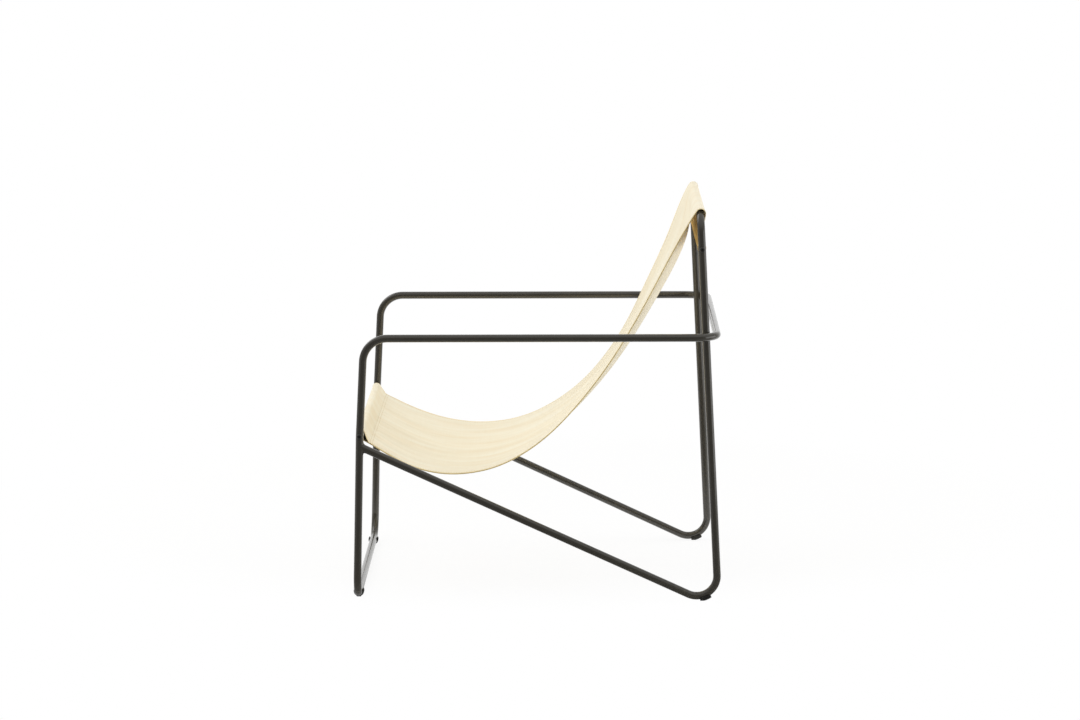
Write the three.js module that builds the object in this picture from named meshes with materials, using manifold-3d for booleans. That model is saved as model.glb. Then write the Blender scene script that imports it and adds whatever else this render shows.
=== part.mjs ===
// Sling lounge chair: two loops of bent steel tube welded together, two bolted bars and one hanging panel of
// canvas. Millimetres, +Z up, floor at z = 0. The sitter faces -Y and has the left hand at +X.
import * as THREE from 'three';
import { mergeVertices } from 'three/addons/utils/BufferGeometryUtils.js';
import Module from 'manifold-3d';

// Tube stock and the gap left between pieces that touch
const TUBE_DIAMETER = 15;
const TUBE_WALL = 1.5;
const TOUCH_GAP = 0.3;

// Overall frame
const OVERALL_WIDTH = 630; // over the arms
const OVERALL_DEPTH = 728; // front glides to floor bends
const OVERALL_HEIGHT = 773; // floor to the cloth over the top bar
const ARM_HEIGHT = 526; // arm axis above the floor
const SEAT_BAR_HEIGHT = 333; // front bar axis above the floor
const FLOOR_BAR_LIFT = 3.3; // free height under the floor bar
const FLOOR_BEND_LIFT = 1; // and under the floor bends
const REAR_BAR_DROP = 68; // rear bar axis below the top bar axis
const DIAGONAL_DROP = 21; // diagonal below the front bar, on the leg axis
const BACK_BAR_GAP = 6.4; // free gap between the uprights and the back bar
const REAR_FOOT_INSET = 14.5; // a floor bend stands this far inside its front leg, axis to axis
const LOWER_LEG_LEAN = THREE.MathUtils.degToRad(1.5);
const UPPER_LEG_LEAN = THREE.MathUtils.degToRad(3);
const UPRIGHT_LEAN = THREE.MathUtils.degToRad(2.7);

// Bends, measured on the tube axis
const ARM_LOOP_BEND = 48;
const REAR_LOOP_BEND = 40;
const GENTLE_BEND = 400; // at the leg's slight kink and at both ends of a floor bend
const GENTLE_BEND_LEAD = 85; // from the floor corner to the gentle bends beside it

// Joints of the frame
const SPIGOT_LENGTH = 60;
const SPIGOT_WALL = 1.5;
const WELD_THICKNESS = 2.2;
const WELD_REACH = 7; // how far a fillet weld runs down the diagonal, past the leg
const WELD_FLATNESS = 0.86; // its width over its height
const TACK_RADIUS = 6.5; // bead round the spot where upright and arm touch

// Bar fixings
const BOLT_DIAMETER = 6;
const BOLT_CLEARANCE = 0.4; // radial, where a bolt crosses a tube
const BOLT_GRIP = 18; // thread held in an insert
const BOLT_HEAD_DIAMETER = 10.5;
const BOLT_HEAD_HEIGHT = 3;
const SOCKET_ACROSS_CORNERS = 4.6;
const SOCKET_DEPTH = 1.8;
const INSERT_LENGTH = 25;

// Glides
const FRONT_GLIDE_WALL = 2.4; // plastic beside the floor bar
const FRONT_GLIDE_LENGTH = 14;
const FRONT_GLIDE_INSET = 57.5; // from the leg axis
const FRONT_GLIDE_FOOT = 9; // width of the flat foot
const FRONT_GLIDE_LIP = THREE.MathUtils.degToRad(25); // how far a clip closes past the tube's middle
const SHOE_START = THREE.MathUtils.degToRad(8); // along the floor bend, behind its lowest point
const SHOE_END = THREE.MathUtils.degToRad(34.5);
const SHOE_WALL = 1.4;
const SHOE_SOLE = 3.4;
const SHOE_LIP_DROP = 2.5; // lips end this far below the tube axis

// Sling
const CLOTH_THICKNESS = 1.5;
const POCKET_CLEARANCE = 0.6; // between cloth and bar
const SLING_FRONT_MARGIN = 22.5; // from the cloth's edge to the leg axis
const SLING_BACK_MARGIN = 18; // from the cloth's edge to the upright's axis, at the top bar
const POCKET_DEPTH = 25; // bar axis to pocket seam
const FRONT_POCKET_ANGLE = THREE.MathUtils.degToRad(-42); // from the bar towards the seam
const SEAT_ANGLE = THREE.MathUtils.degToRad(-30.7); // slope where the seat leaves the front pocket
const BACK_ANGLE = THREE.MathUtils.degToRad(52.4); // slope where the back reaches the top bar
const SEAT_PULL = 484; // how far the seat holds its slope
const BACK_PULL = 115; // how far the back holds its slope
const BACK_BULGE = 47; // drives how far the slack middle hangs behind the edges
const SKEW_NODE = 0.25; // share of the panel's length where both edges hang level
const SEAT_SKEW = 6.5; // the left edge hangs this much lower in the seat
const BACK_SKEW = 15; // and this much further forward in the back

// Facets
const TUBE_SIDES = 12;
const BEND_STEP = THREE.MathUtils.degToRad(12);
const WRAP_STEP = THREE.MathUtils.degToRad(24);
const PANEL_STEPS = 22;
const ACROSS_STEPS = 8;
const ROUND_SIDES = 24;
const DOME_STEPS = 3;
const MERGE_DISTANCE = 1e-4;

// Sizes that follow
const tubeRadius = TUBE_DIAMETER / 2;
const boreFlat = (tubeRadius - TUBE_WALL) * Math.cos(Math.PI / TUBE_SIDES); // least radius of a faceted bore
const armX = OVERALL_WIDTH / 2 - tubeRadius;
const footX = armX - REAR_FOOT_INSET;
const floorAxisZ = FLOOR_BAR_LIFT + tubeRadius;
const floorBarY = -OVERALL_DEPTH / 2 + tubeRadius + TOUCH_GAP + FRONT_GLIDE_WALL;
const topBarZ = OVERALL_HEIGHT - CLOTH_THICKNESS - POCKET_CLEARANCE - tubeRadius;
const rearBarZ = topBarZ - REAR_BAR_DROP;
const wrapRadius = tubeRadius + POCKET_CLEARANCE + CLOTH_THICKNESS / 2; // middle of cloth round a bar

const wasm = await Module();
wasm.setup();

const chair = new THREE.Group();
const powderCoat = { color: 0x2a2926, roughness: 0.42, metalness: 0 };
const zincSteel = { color: 0x8b8d90, roughness: 0.4, metalness: 1 };
const blackPlastic = { color: 0x1c1c1c, roughness: 0.6, metalness: 0 };
const creamCanvas = { color: 0xefe3c6, roughness: 0.95, metalness: 0 };

function addPiece(name, geometry, finish) {
  geometry.computeVertexNormals();
  const mesh = new THREE.Mesh(geometry, new THREE.MeshStandardMaterial(finish));
  mesh.name = name;
  chair.add(mesh);
}

// Solids for cutting and joining
function solidOf(geometry) {
  const bare = geometry.clone();
  bare.deleteAttribute('normal');
  bare.deleteAttribute('uv');
  const merged = mergeVertices(bare, MERGE_DISTANCE);
  const mesh = new wasm.Mesh({
    numProp: 3,
    vertProperties: new Float32Array(merged.attributes.position.array),
    triVerts: new Uint32Array(merged.index.array),
  });
  return new wasm.Manifold(mesh);
}

function geometryOf(solid) {
  const mesh = solid.getMesh();
  const geometry = new THREE.BufferGeometry();
  geometry.setAttribute('position', new THREE.BufferAttribute(new Float32Array(mesh.vertProperties), 3));
  geometry.setIndex(new THREE.BufferAttribute(new Uint32Array(mesh.triVerts), 1));
  return geometry;
}

// The axis of a bent tube: straight runs joined by round bends, with a station at each ring of the tube.
class BentAxis extends THREE.Curve {
  constructor(corners, bends) {
    super();
    this.stations = [];
    const first = corners[0];
    const last = corners[corners.length - 1];
    this.addStation(first, corners[1].clone().sub(first).normalize());
    for (let i = 1; i < corners.length - 1; i += 1) {
      this.addBend(corners[i - 1], corners[i], corners[i + 1], bends[i - 1]);
    }
    this.addStation(last, last.clone().sub(corners[corners.length - 2]).normalize());
  }

  addStation(point, tangent) {
    this.stations.push({ point: point.clone(), tangent: tangent.clone() });
  }

  addBend(before, corner, after, radius) {
    const incoming = corner.clone().sub(before).normalize();
    const outgoing = after.clone().sub(corner).normalize();
    const turn = incoming.angleTo(outgoing);
    const axis = incoming.clone().cross(outgoing).normalize();
    const start = corner.clone().addScaledVector(incoming, -radius * Math.tan(turn / 2));
    const centre = start.clone().addScaledVector(axis.clone().cross(incoming), radius);
    const steps = Math.max(2, Math.ceil(turn / BEND_STEP));
    for (let k = 0; k <= steps; k += 1) {
      const angle = (turn * k) / steps;
      const arm = start.clone().sub(centre).applyAxisAngle(axis, angle);
      this.addStation(centre.clone().add(arm), incoming.clone().applyAxisAngle(axis, angle));
    }
  }

  blend(t, key) {
    const place = t * (this.stations.length - 1);
    const index = Math.min(Math.floor(place), this.stations.length - 2);
    return this.stations[index][key].clone().lerp(this.stations[index + 1][key], place - index);
  }

  getPoint(t, target = new THREE.Vector3()) {
    return target.copy(this.blend(t, 'point'));
  }

  getTangent(t, target = new THREE.Vector3()) {
    return target.copy(this.blend(t, 'tangent')).normalize();
  }

  // Stations are evenly spaced in t, so that each one becomes a ring.
  getUtoTmapping(u) {
    return u;
  }
}

function ringShape(outer, inner) {
  const shape = new THREE.Shape();
  shape.absarc(0, 0, outer, 0, 2 * Math.PI, false);
  if (inner > 0) {
    const bore = new THREE.Path();
    bore.absarc(0, 0, inner, 0, 2 * Math.PI, true);
    shape.holes.push(bore);
  }
  return shape;
}

function tubeAlong(axis, outer, inner) {
  return new THREE.ExtrudeGeometry(ringShape(outer, inner), {
    steps: axis.stations.length - 1,
    curveSegments: TUBE_SIDES / 2,
    extrudePath: axis,
  });
}

// A straight tube or rod along X, between two places
function rodAlongX(fromX, toX, y, z, outer, inner) {
  const axis = new BentAxis([new THREE.Vector3(fromX, y, z), new THREE.Vector3(toX, y, z)], []);
  return tubeAlong(axis, outer, inner);
}

// Places on the frame: a leg leans back a little, and more so above the front bar
function legY(z) {
  const kinkY = floorBarY + (SEAT_BAR_HEIGHT - floorAxisZ) * Math.tan(LOWER_LEG_LEAN);
  const lean = z > SEAT_BAR_HEIGHT ? UPPER_LEG_LEAN : LOWER_LEG_LEAN;
  return kinkY + (z - SEAT_BAR_HEIGHT) * Math.tan(lean);
}

// A floor bend reaches furthest back. The upright leaves it at a tangent.
const floorBend = { y: OVERALL_DEPTH / 2 - tubeRadius - REAR_LOOP_BEND };
floorBend.z = FLOOR_BEND_LIFT + tubeRadius + REAR_LOOP_BEND;
function uprightY(z) {
  const tangentY = floorBend.y + REAR_LOOP_BEND / Math.cos(UPRIGHT_LEAN);
  return tangentY - (z - floorBend.z) * Math.tan(UPRIGHT_LEAN);
}
const backBarY = uprightY(ARM_HEIGHT) + TUBE_DIAMETER + BACK_BAR_GAP;

// An upright touches its arm inside the arm's rear bend, so it leans inwards from its foot to that spot.
const armBend = { x: armX - ARM_LOOP_BEND, y: backBarY - ARM_LOOP_BEND };
const nestRadius = ARM_LOOP_BEND * Math.cos(BEND_STEP / 2) - TUBE_DIAMETER - TOUCH_GAP; // clear of its facets
const nestAngle = Math.asin((uprightY(ARM_HEIGHT) - armBend.y) / nestRadius);
const touchX = armBend.x + nestRadius * Math.cos(nestAngle);

// The diagonal leaves the leg and runs under the floor bend's centre, tangent to the bend.
const diagonalStart = { z: SEAT_BAR_HEIGHT - DIAGONAL_DROP };
diagonalStart.y = legY(diagonalStart.z);
const toBend = { y: floorBend.y - diagonalStart.y, z: floorBend.z - diagonalStart.z };
const diagonalSlope = Math.atan2(toBend.z, toBend.y)
  - Math.asin(REAR_LOOP_BEND / Math.hypot(toBend.y, toBend.z));

// Where the diagonal's line meets the upright's line
const floorCorner = {};
floorCorner.y = (uprightY(diagonalStart.z - diagonalStart.y * Math.tan(diagonalSlope)))
  / (1 + Math.tan(UPRIGHT_LEAN) * Math.tan(diagonalSlope));
floorCorner.z = diagonalStart.z + (floorCorner.y - diagonalStart.y) * Math.tan(diagonalSlope);

// Above its floor bend an upright turns inwards.
const inwardZ = floorCorner.z + GENTLE_BEND_LEAD * Math.cos(UPRIGHT_LEAN);
function uprightX(z) {
  return THREE.MathUtils.mapLinear(z, inwardZ, ARM_HEIGHT, footX, touchX);
}

function armLoopAxis(side) {
  const corners = [
    new THREE.Vector3((side * TOUCH_GAP) / 2, floorBarY, floorAxisZ),
    new THREE.Vector3(side * armX, floorBarY, floorAxisZ),
    new THREE.Vector3(side * armX, legY(SEAT_BAR_HEIGHT), SEAT_BAR_HEIGHT),
    new THREE.Vector3(side * armX, legY(ARM_HEIGHT), ARM_HEIGHT),
    new THREE.Vector3(side * armX, backBarY, ARM_HEIGHT),
    new THREE.Vector3((side * TOUCH_GAP) / 2, backBarY, ARM_HEIGHT),
  ];
  return new BentAxis(corners, [ARM_LOOP_BEND, GENTLE_BEND, ARM_LOOP_BEND, ARM_LOOP_BEND]);
}

function rearLoopAxis(side) {
  const gentleY = floorCorner.y - GENTLE_BEND_LEAD * Math.cos(diagonalSlope);
  const gentleZ = floorCorner.z - GENTLE_BEND_LEAD * Math.sin(diagonalSlope);
  const corners = [
    new THREE.Vector3(side * armX, diagonalStart.y, diagonalStart.z),
    new THREE.Vector3(side * footX, gentleY, gentleZ),
    new THREE.Vector3(side * footX, floorCorner.y, floorCorner.z),
    new THREE.Vector3(side * footX, uprightY(inwardZ), inwardZ),
    new THREE.Vector3(side * uprightX(topBarZ), uprightY(topBarZ), topBarZ),
    new THREE.Vector3((side * TOUCH_GAP) / 2, uprightY(topBarZ), topBarZ),
  ];
  return new BentAxis(corners, [GENTLE_BEND, REAR_LOOP_BEND, GENTLE_BEND, REAR_LOOP_BEND]);
}

// Fixings of the two bars: where each bar runs and how far out it reaches
const frontFixing = { y: legY(SEAT_BAR_HEIGHT), z: SEAT_BAR_HEIGHT, tubeX: armX };
const rearFixing = { y: uprightY(rearBarZ), z: rearBarZ, tubeX: uprightX(rearBarZ) };

function barEnd(fixing) {
  return fixing.tubeX - tubeRadius - TOUCH_GAP;
}

function boltHole(fixing, side) {
  const fromX = side * (fixing.tubeX - TUBE_DIAMETER);
  const toX = side * (fixing.tubeX + TUBE_DIAMETER);
  return rodAlongX(fromX, toX, fixing.y, fixing.z, BOLT_DIAMETER / 2 + BOLT_CLEARANCE, 0);
}

function addTubeLoops(side, suffix) {
  const bore = tubeRadius - TUBE_WALL;
  const armAxis = armLoopAxis(side);
  const rearAxis = rearLoopAxis(side);
  const armSpace = solidOf(tubeAlong(armAxis, tubeRadius + TOUCH_GAP, 0));
  const rearSpace = solidOf(tubeAlong(rearAxis, tubeRadius + TOUCH_GAP, 0));
  const armLoop = solidOf(tubeAlong(armAxis, tubeRadius, bore))
    .subtract(solidOf(boltHole(frontFixing, side)));
  const rearLoop = solidOf(tubeAlong(rearAxis, tubeRadius, bore))
    .subtract(solidOf(boltHole(rearFixing, side)))
    .subtract(armSpace);
  addPiece(`arm_loop_${suffix}`, geometryOf(armLoop), powderCoat);
  addPiece(`rear_loop_${suffix}`, geometryOf(rearLoop), powderCoat);
  const fillet = diagonalWeld(rearAxis).subtract(armSpace).subtract(rearSpace);
  addPiece(`weld_diagonal_${suffix}`, geometryOf(fillet), powderCoat);
  const tack = armTack(side).subtract(armSpace).subtract(rearSpace);
  addPiece(`weld_arm_${suffix}`, geometryOf(tack), powderCoat);
}

// A tapering plug round the start of a diagonal, narrower than it is high, from which both tubes are then cut
function diagonalWeld(rearAxis) {
  const thick = tubeRadius + TOUCH_GAP + WELD_THICKNESS;
  const thin = thick - WELD_THICKNESS;
  const start = tubeRadius / 2;
  const throat = tubeRadius / Math.cos(diagonalSlope);
  const profile = [
    new THREE.Vector2(0, start),
    new THREE.Vector2(thick, start),
    new THREE.Vector2(thick, throat),
    new THREE.Vector2(thin, throat + WELD_REACH),
    new THREE.Vector2(0, throat + WELD_REACH),
  ];
  const collar = new THREE.LatheGeometry(profile, ROUND_SIDES);
  collar.scale(WELD_FLATNESS, 1, 1);
  const { point, tangent } = rearAxis.stations[0];
  const turn = new THREE.Quaternion().setFromUnitVectors(new THREE.Vector3(0, 1, 0), tangent);
  collar.applyQuaternion(turn);
  collar.translate(point.x, point.y, point.z);
  return solidOf(collar);
}

// A short plug across the spot where upright and arm touch, from which both tubes are then cut
function armTack(side) {
  const reach = nestRadius + tubeRadius + TOUCH_GAP / 2;
  const plug = new THREE.CylinderGeometry(TACK_RADIUS, TACK_RADIUS, TUBE_DIAMETER / 2, ROUND_SIDES);
  plug.rotateZ(-Math.PI / 2);
  plug.translate(reach, 0, 0);
  plug.rotateZ(side > 0 ? nestAngle : Math.PI - nestAngle);
  plug.translate(side * armBend.x, armBend.y, ARM_HEIGHT);
  return solidOf(plug);
}

function addSpigot(name, y, z) {
  const outer = boreFlat - TOUCH_GAP;
  const half = SPIGOT_LENGTH / 2;
  addPiece(name, rodAlongX(-half, half, y, z, outer, outer - SPIGOT_WALL), zincSteel);
}

function addBar(prefix, fixing) {
  const end = barEnd(fixing);
  const bore = tubeRadius - TUBE_WALL;
  addPiece(`${prefix}_bar`, rodAlongX(-end, end, fixing.y, fixing.z, tubeRadius, bore), powderCoat);
  for (const [side, suffix] of [[1, 'left'], [-1, 'right']]) {
    const inner = BOLT_DIAMETER / 2 + TOUCH_GAP;
    const outer = boreFlat - TOUCH_GAP;
    const insert = rodAlongX(side * (end - INSERT_LENGTH), side * end, fixing.y, fixing.z, outer, inner);
    addPiece(`${prefix}_insert_${suffix}`, insert, zincSteel);
    addPiece(`${prefix}_bolt_${suffix}`, boltGeometry(fixing, side), powderCoat);
  }
}

// Button head bolt: turned about its axis, with a hex socket cut into the head
function boltGeometry(fixing, side) {
  const seat = fixing.tubeX + tubeRadius + TOUCH_GAP;
  const tip = barEnd(fixing) - BOLT_GRIP;
  const shank = BOLT_DIAMETER / 2;
  const head = BOLT_HEAD_DIAMETER / 2;
  const rim = BOLT_HEAD_HEIGHT / 3;
  const dome = new THREE.QuadraticBezierCurve(
    new THREE.Vector2(head, rim),
    new THREE.Vector2(head, BOLT_HEAD_HEIGHT),
    new THREE.Vector2(head / 2, BOLT_HEAD_HEIGHT),
  );
  const profile = [
    new THREE.Vector2(0, tip - seat),
    new THREE.Vector2(shank, tip - seat),
    new THREE.Vector2(shank, 0),
    new THREE.Vector2(head, 0),
    ...dome.getPoints(DOME_STEPS),
    new THREE.Vector2(0, BOLT_HEAD_HEIGHT),
  ];
  const body = new THREE.LatheGeometry(profile, TUBE_SIDES);
  const socketRadius = SOCKET_ACROSS_CORNERS / 2;
  const socket = new THREE.CylinderGeometry(socketRadius, socketRadius, 2 * SOCKET_DEPTH, 6);
  socket.translate(0, BOLT_HEAD_HEIGHT, 0);
  const bolt = geometryOf(solidOf(body).subtract(solidOf(socket)));
  bolt.rotateZ((-side * Math.PI) / 2);
  bolt.translate(side * seat, fixing.y, fixing.z);
  return bolt;
}

// A clip that snaps up onto the floor bar, on a flat foot
function frontGlide(side) {
  const inner = tubeRadius + TOUCH_GAP;
  const outer = inner + FRONT_GLIDE_WALL;
  const foot = FRONT_GLIDE_FOOT / 2;
  const shoulder = Math.asin(foot / outer);
  const outline = new THREE.Shape();
  outline.moveTo(-foot, -floorAxisZ);
  outline.lineTo(foot, -floorAxisZ);
  outline.absarc(0, 0, outer, shoulder - Math.PI / 2, FRONT_GLIDE_LIP, false);
  outline.absarc(0, 0, inner, FRONT_GLIDE_LIP, Math.PI - FRONT_GLIDE_LIP, true);
  outline.absarc(0, 0, outer, Math.PI - FRONT_GLIDE_LIP, 1.5 * Math.PI - shoulder, false);
  const clip = new THREE.ExtrudeGeometry(outline, {
    depth: FRONT_GLIDE_LENGTH,
    bevelEnabled: false,
    curveSegments: TUBE_SIDES / 2,
  });
  clip.translate(0, 0, -FRONT_GLIDE_LENGTH / 2);
  clip.applyMatrix4(new THREE.Matrix4().makeBasis(
    new THREE.Vector3(0, 1, 0),
    new THREE.Vector3(0, 0, 1),
    new THREE.Vector3(1, 0, 0),
  ));
  clip.translate(side * (armX - FRONT_GLIDE_INSET), floorBarY, floorAxisZ);
  return clip;
}

// The arc that a shoe follows under its floor bend
class ShoeArc extends THREE.Curve {
  constructor(x) {
    super();
    this.x = x;
  }

  getPoint(t, target = new THREE.Vector3()) {
    const angle = SHOE_START + (SHOE_END - SHOE_START) * t;
    const y = floorBend.y + REAR_LOOP_BEND * Math.sin(angle);
    return target.set(this.x, y, floorBend.z - REAR_LOOP_BEND * Math.cos(angle));
  }
}

// A shoe that hugs the underside of a floor bend and is flat where it stands
function rearGlide(side) {
  const inner = tubeRadius + TOUCH_GAP;
  const wide = inner + SHOE_WALL;
  const sole = -(inner + SHOE_SOLE);
  const lip = Math.asin(SHOE_LIP_DROP / inner);
  const outline = new THREE.Shape();
  outline.moveTo(-wide, sole);
  outline.lineTo(wide, sole);
  outline.lineTo(wide, -SHOE_LIP_DROP);
  outline.absarc(0, 0, inner, -lip, lip - Math.PI, true);
  outline.lineTo(-wide, -SHOE_LIP_DROP);
  const shoe = new THREE.ExtrudeGeometry(outline, {
    steps: Math.ceil((SHOE_END - SHOE_START) / (BEND_STEP / 2)),
    curveSegments: TUBE_SIDES / 2,
    extrudePath: new ShoeArc(side * footX),
  });
  const ground = new THREE.BoxGeometry(4 * wide, 4 * OVERALL_DEPTH, 2 * TUBE_DIAMETER);
  ground.translate(side * footX, 0, -TUBE_DIAMETER);
  return geometryOf(solidOf(shoe).subtract(solidOf(ground)));
}

// The sling's middle line, seen from the side: points (y, z), each with the share of the panel's length
// that lies before it. The cloth's outer face is on the right hand of the way.
function wrapAround(line, fixing, fromAngle, toAngle, share) {
  const steps = Math.ceil(Math.abs(toAngle - fromAngle) / WRAP_STEP);
  for (let k = 0; k <= steps; k += 1) {
    const angle = fromAngle + ((toAngle - fromAngle) * k) / steps;
    const y = fixing.y + wrapRadius * Math.cos(angle);
    line.push({ y, z: fixing.z + wrapRadius * Math.sin(angle), share });
  }
}

function slingLine() {
  const line = [];
  const topFixing = { y: uprightY(topBarZ), z: topBarZ };
  const lap = CLOTH_THICKNESS + TOUCH_GAP; // between the two layers of a pocket's seam
  const opening = Math.acos(wrapRadius / POCKET_DEPTH);
  const seam = {
    y: frontFixing.y + POCKET_DEPTH * Math.cos(FRONT_POCKET_ANGLE),
    z: frontFixing.z + POCKET_DEPTH * Math.sin(FRONT_POCKET_ANGLE),
  };

  // Front pocket: from its lap under the seam, round the bar and back to the seam
  const under = { y: seam.y - lap * Math.cos(SEAT_ANGLE), z: seam.z - lap };
  line.push({ ...under, share: 0 });
  wrapAround(line, frontFixing, FRONT_POCKET_ANGLE - opening, FRONT_POCKET_ANGLE + opening - 2 * Math.PI, 0);

  // Seat and back: one smooth hang from the seam to the top bar
  const top = { y: topFixing.y - wrapRadius * Math.sin(BACK_ANGLE) };
  top.z = topFixing.z + wrapRadius * Math.cos(BACK_ANGLE);
  const hang = new THREE.CubicBezierCurve(
    new THREE.Vector2(seam.y, seam.z),
    new THREE.Vector2(seam.y + SEAT_PULL * Math.cos(SEAT_ANGLE), seam.z + SEAT_PULL * Math.sin(SEAT_ANGLE)),
    new THREE.Vector2(top.y - BACK_PULL * Math.cos(BACK_ANGLE), top.z - BACK_PULL * Math.sin(BACK_ANGLE)),
    new THREE.Vector2(top.y, top.z),
  );
  hang.getSpacedPoints(PANEL_STEPS).forEach((point, k) => {
    line.push({ y: point.x, z: point.y, share: k / PANEL_STEPS });
  });

  // Over the top bar, down the flap, round the rear bar and up to the seam on the flap
  const overTop = BACK_ANGLE + Math.PI / 2 - WRAP_STEP;
  const flapLean = Math.atan2(rearFixing.y - topFixing.y, topFixing.z - rearFixing.z);
  wrapAround(line, topFixing, overTop, flapLean, 1);
  const rearSeamAngle = Math.PI / 2 + flapLean;
  wrapAround(line, rearFixing, flapLean, rearSeamAngle + opening - 2 * Math.PI, 1);
  const seamUp = POCKET_DEPTH * Math.cos(flapLean);
  line.push({ y: rearFixing.y + wrapRadius - 2 * lap, z: rearFixing.z + seamUp, share: 1 });
  return line;
}

// How far the cloth leaves the middle line, square to it: the slack middle bulges out, the edges hang askew
function clothOffset(share, across) {
  const bulge = BACK_BULGE * share ** 2 * (1 - share ** 6) * (1 - across ** 2);
  const front = SEAT_SKEW * Math.sin((Math.PI * share) / SKEW_NODE);
  const back = BACK_SKEW * Math.sin((Math.PI * (share - SKEW_NODE)) / (1 - SKEW_NODE));
  const skew = share < SKEW_NODE ? front : -back;
  return bulge + skew * across;
}

function slingGeometry() {
  const line = slingLine();
  const columns = ACROSS_STEPS + 1;
  const sheet = line.length * columns;
  const frontHalf = armX - SLING_FRONT_MARGIN;
  const backHalf = uprightX(topBarZ) - SLING_BACK_MARGIN;
  const positions = new Float32Array(2 * sheet * 3);
  line.forEach((here, i) => {
    const before = line[Math.max(i - 1, 0)];
    const after = line[Math.min(i + 1, line.length - 1)];
    const along = new THREE.Vector2(after.y - before.y, after.z - before.z).normalize();
    const halfWidth = THREE.MathUtils.lerp(frontHalf, backHalf, here.share);
    for (let j = 0; j < columns; j += 1) {
      const across = (2 * j) / ACROSS_STEPS - 1;
      const offset = clothOffset(here.share, across);
      for (const [layer, half] of [[0, CLOTH_THICKNESS / 2], [1, -CLOTH_THICKNESS / 2]]) {
        const out = offset + half;
        const place = [across * halfWidth, here.y + along.y * out, here.z - along.x * out];
        positions.set(place, 3 * (layer * sheet + i * columns + j));
      }
    }
  });

  // Both faces, then a strip round the border from one face to the other
  const index = [];
  const addQuad = (a, b, c, d) => index.push(a, b, c, a, c, d);
  for (let i = 0; i + 1 < line.length; i += 1) {
    for (let j = 0; j < ACROSS_STEPS; j += 1) {
      const corner = i * columns + j;
      const ring = [corner, corner + columns, corner + columns + 1, corner + 1];
      addQuad(...ring);
      addQuad(...ring.reverse().map((vertex) => vertex + sheet));
    }
  }
  const border = [];
  for (let j = 0; j < columns; j += 1) border.push(j);
  for (let i = 1; i < line.length; i += 1) border.push(i * columns + ACROSS_STEPS);
  for (let j = ACROSS_STEPS - 1; j >= 0; j -= 1) border.push((line.length - 1) * columns + j);
  for (let i = line.length - 2; i > 0; i -= 1) border.push(i * columns);
  border.forEach((here, k) => {
    const next = border[(k + 1) % border.length];
    addQuad(here, next, next + sheet, here + sheet);
  });
  const geometry = new THREE.BufferGeometry();
  geometry.setAttribute('position', new THREE.BufferAttribute(positions, 3));
  geometry.setIndex(index);
  return geometry;
}

// The chair
for (const [side, suffix] of [[1, 'left'], [-1, 'right']]) {
  addTubeLoops(side, suffix);
  addPiece(`front_glide_${suffix}`, frontGlide(side), blackPlastic);
  addPiece(`rear_glide_${suffix}`, rearGlide(side), blackPlastic);
}
addSpigot('floor_bar_spigot', floorBarY, floorAxisZ);
addSpigot('back_bar_spigot', backBarY, ARM_HEIGHT);
addSpigot('top_bar_spigot', uprightY(topBarZ), topBarZ);
addBar('front', frontFixing);
addBar('rear', rearFixing);
addPiece('sling', slingGeometry(), creamCanvas);

export default chair;
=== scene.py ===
"""Sling lounge chair: a welded frame of bent tube and one hanging panel of canvas, in a white studio.

The chair's sizes are in millimetres, as on a drawing, and become metres when a mesh is finished. The studio's
are in metres. The chair stands on z = 0, its front faces -Y and the sitter's left hand is at +X.
"""

import logging
import math
from abc import ABC, abstractmethod
from dataclasses import dataclass
from enum import Enum

import bmesh
import bpy
from bmesh.types import BMEdge, BMesh, BMVert
from bpy.types import Material, Node, NodeSocket, NodeTree, Object
from mathutils import Matrix, Vector, noise


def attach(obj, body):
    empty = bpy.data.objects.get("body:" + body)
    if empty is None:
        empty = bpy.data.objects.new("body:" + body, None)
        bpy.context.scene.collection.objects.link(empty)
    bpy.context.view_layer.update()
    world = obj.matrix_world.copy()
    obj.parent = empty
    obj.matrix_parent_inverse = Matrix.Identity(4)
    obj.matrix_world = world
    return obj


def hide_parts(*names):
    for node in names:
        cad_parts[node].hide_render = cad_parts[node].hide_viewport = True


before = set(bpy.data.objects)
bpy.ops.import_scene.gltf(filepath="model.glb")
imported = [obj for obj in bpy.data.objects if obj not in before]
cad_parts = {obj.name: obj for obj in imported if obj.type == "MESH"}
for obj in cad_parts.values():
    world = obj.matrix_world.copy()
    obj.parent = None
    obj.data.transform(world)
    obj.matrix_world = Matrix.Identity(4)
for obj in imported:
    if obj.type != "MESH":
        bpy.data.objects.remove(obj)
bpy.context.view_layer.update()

LOG = logging.getLogger("sling_chair")
MM = 0.001
BODY = "root"

# A Mix node's socket names repeat for each kind of value, so its sockets go by number.
FACTOR, VALUE_A, VALUE_B, COLOUR_A, COLOUR_B = 0, 2, 3, 6, 7
MIXED_VALUE, MIXED_COLOUR = 0, 2
# A Wave texture of scale one repeats every pi / 10 units.
WAVE = math.pi / 10
# The least brightness of the room, at the end where the camera stands.
DARK_END = 0.2


class Side(Enum):
    """The two sides of the chair, as the sitter has them."""

    LEFT = 1
    RIGHT = -1

    @property
    def word(self) -> str:
        """The side as it stands in a piece's name."""
        return self.name.lower()


class SlingPart(Enum):
    """The stretches of the sling, from the front seam allowance to the rear one."""

    FRONT_LAP = "front_lap"
    FRONT_POCKET = "front_pocket"
    PANEL = "panel"
    TOP = "top"
    FLAP = "flap"
    REAR_POCKET = "rear_pocket"
    REAR_LAP = "rear_lap"


class Tuck(Enum):
    """Which faces of the cloth lie hidden or in shade between the panel and the flap, where the canvas paints
    a warm gold shade, as the mesh notes it.
    """

    NEITHER = 0.0
    UNDER_FACE = 0.5
    BOTH_FACES = 1.0


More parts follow.
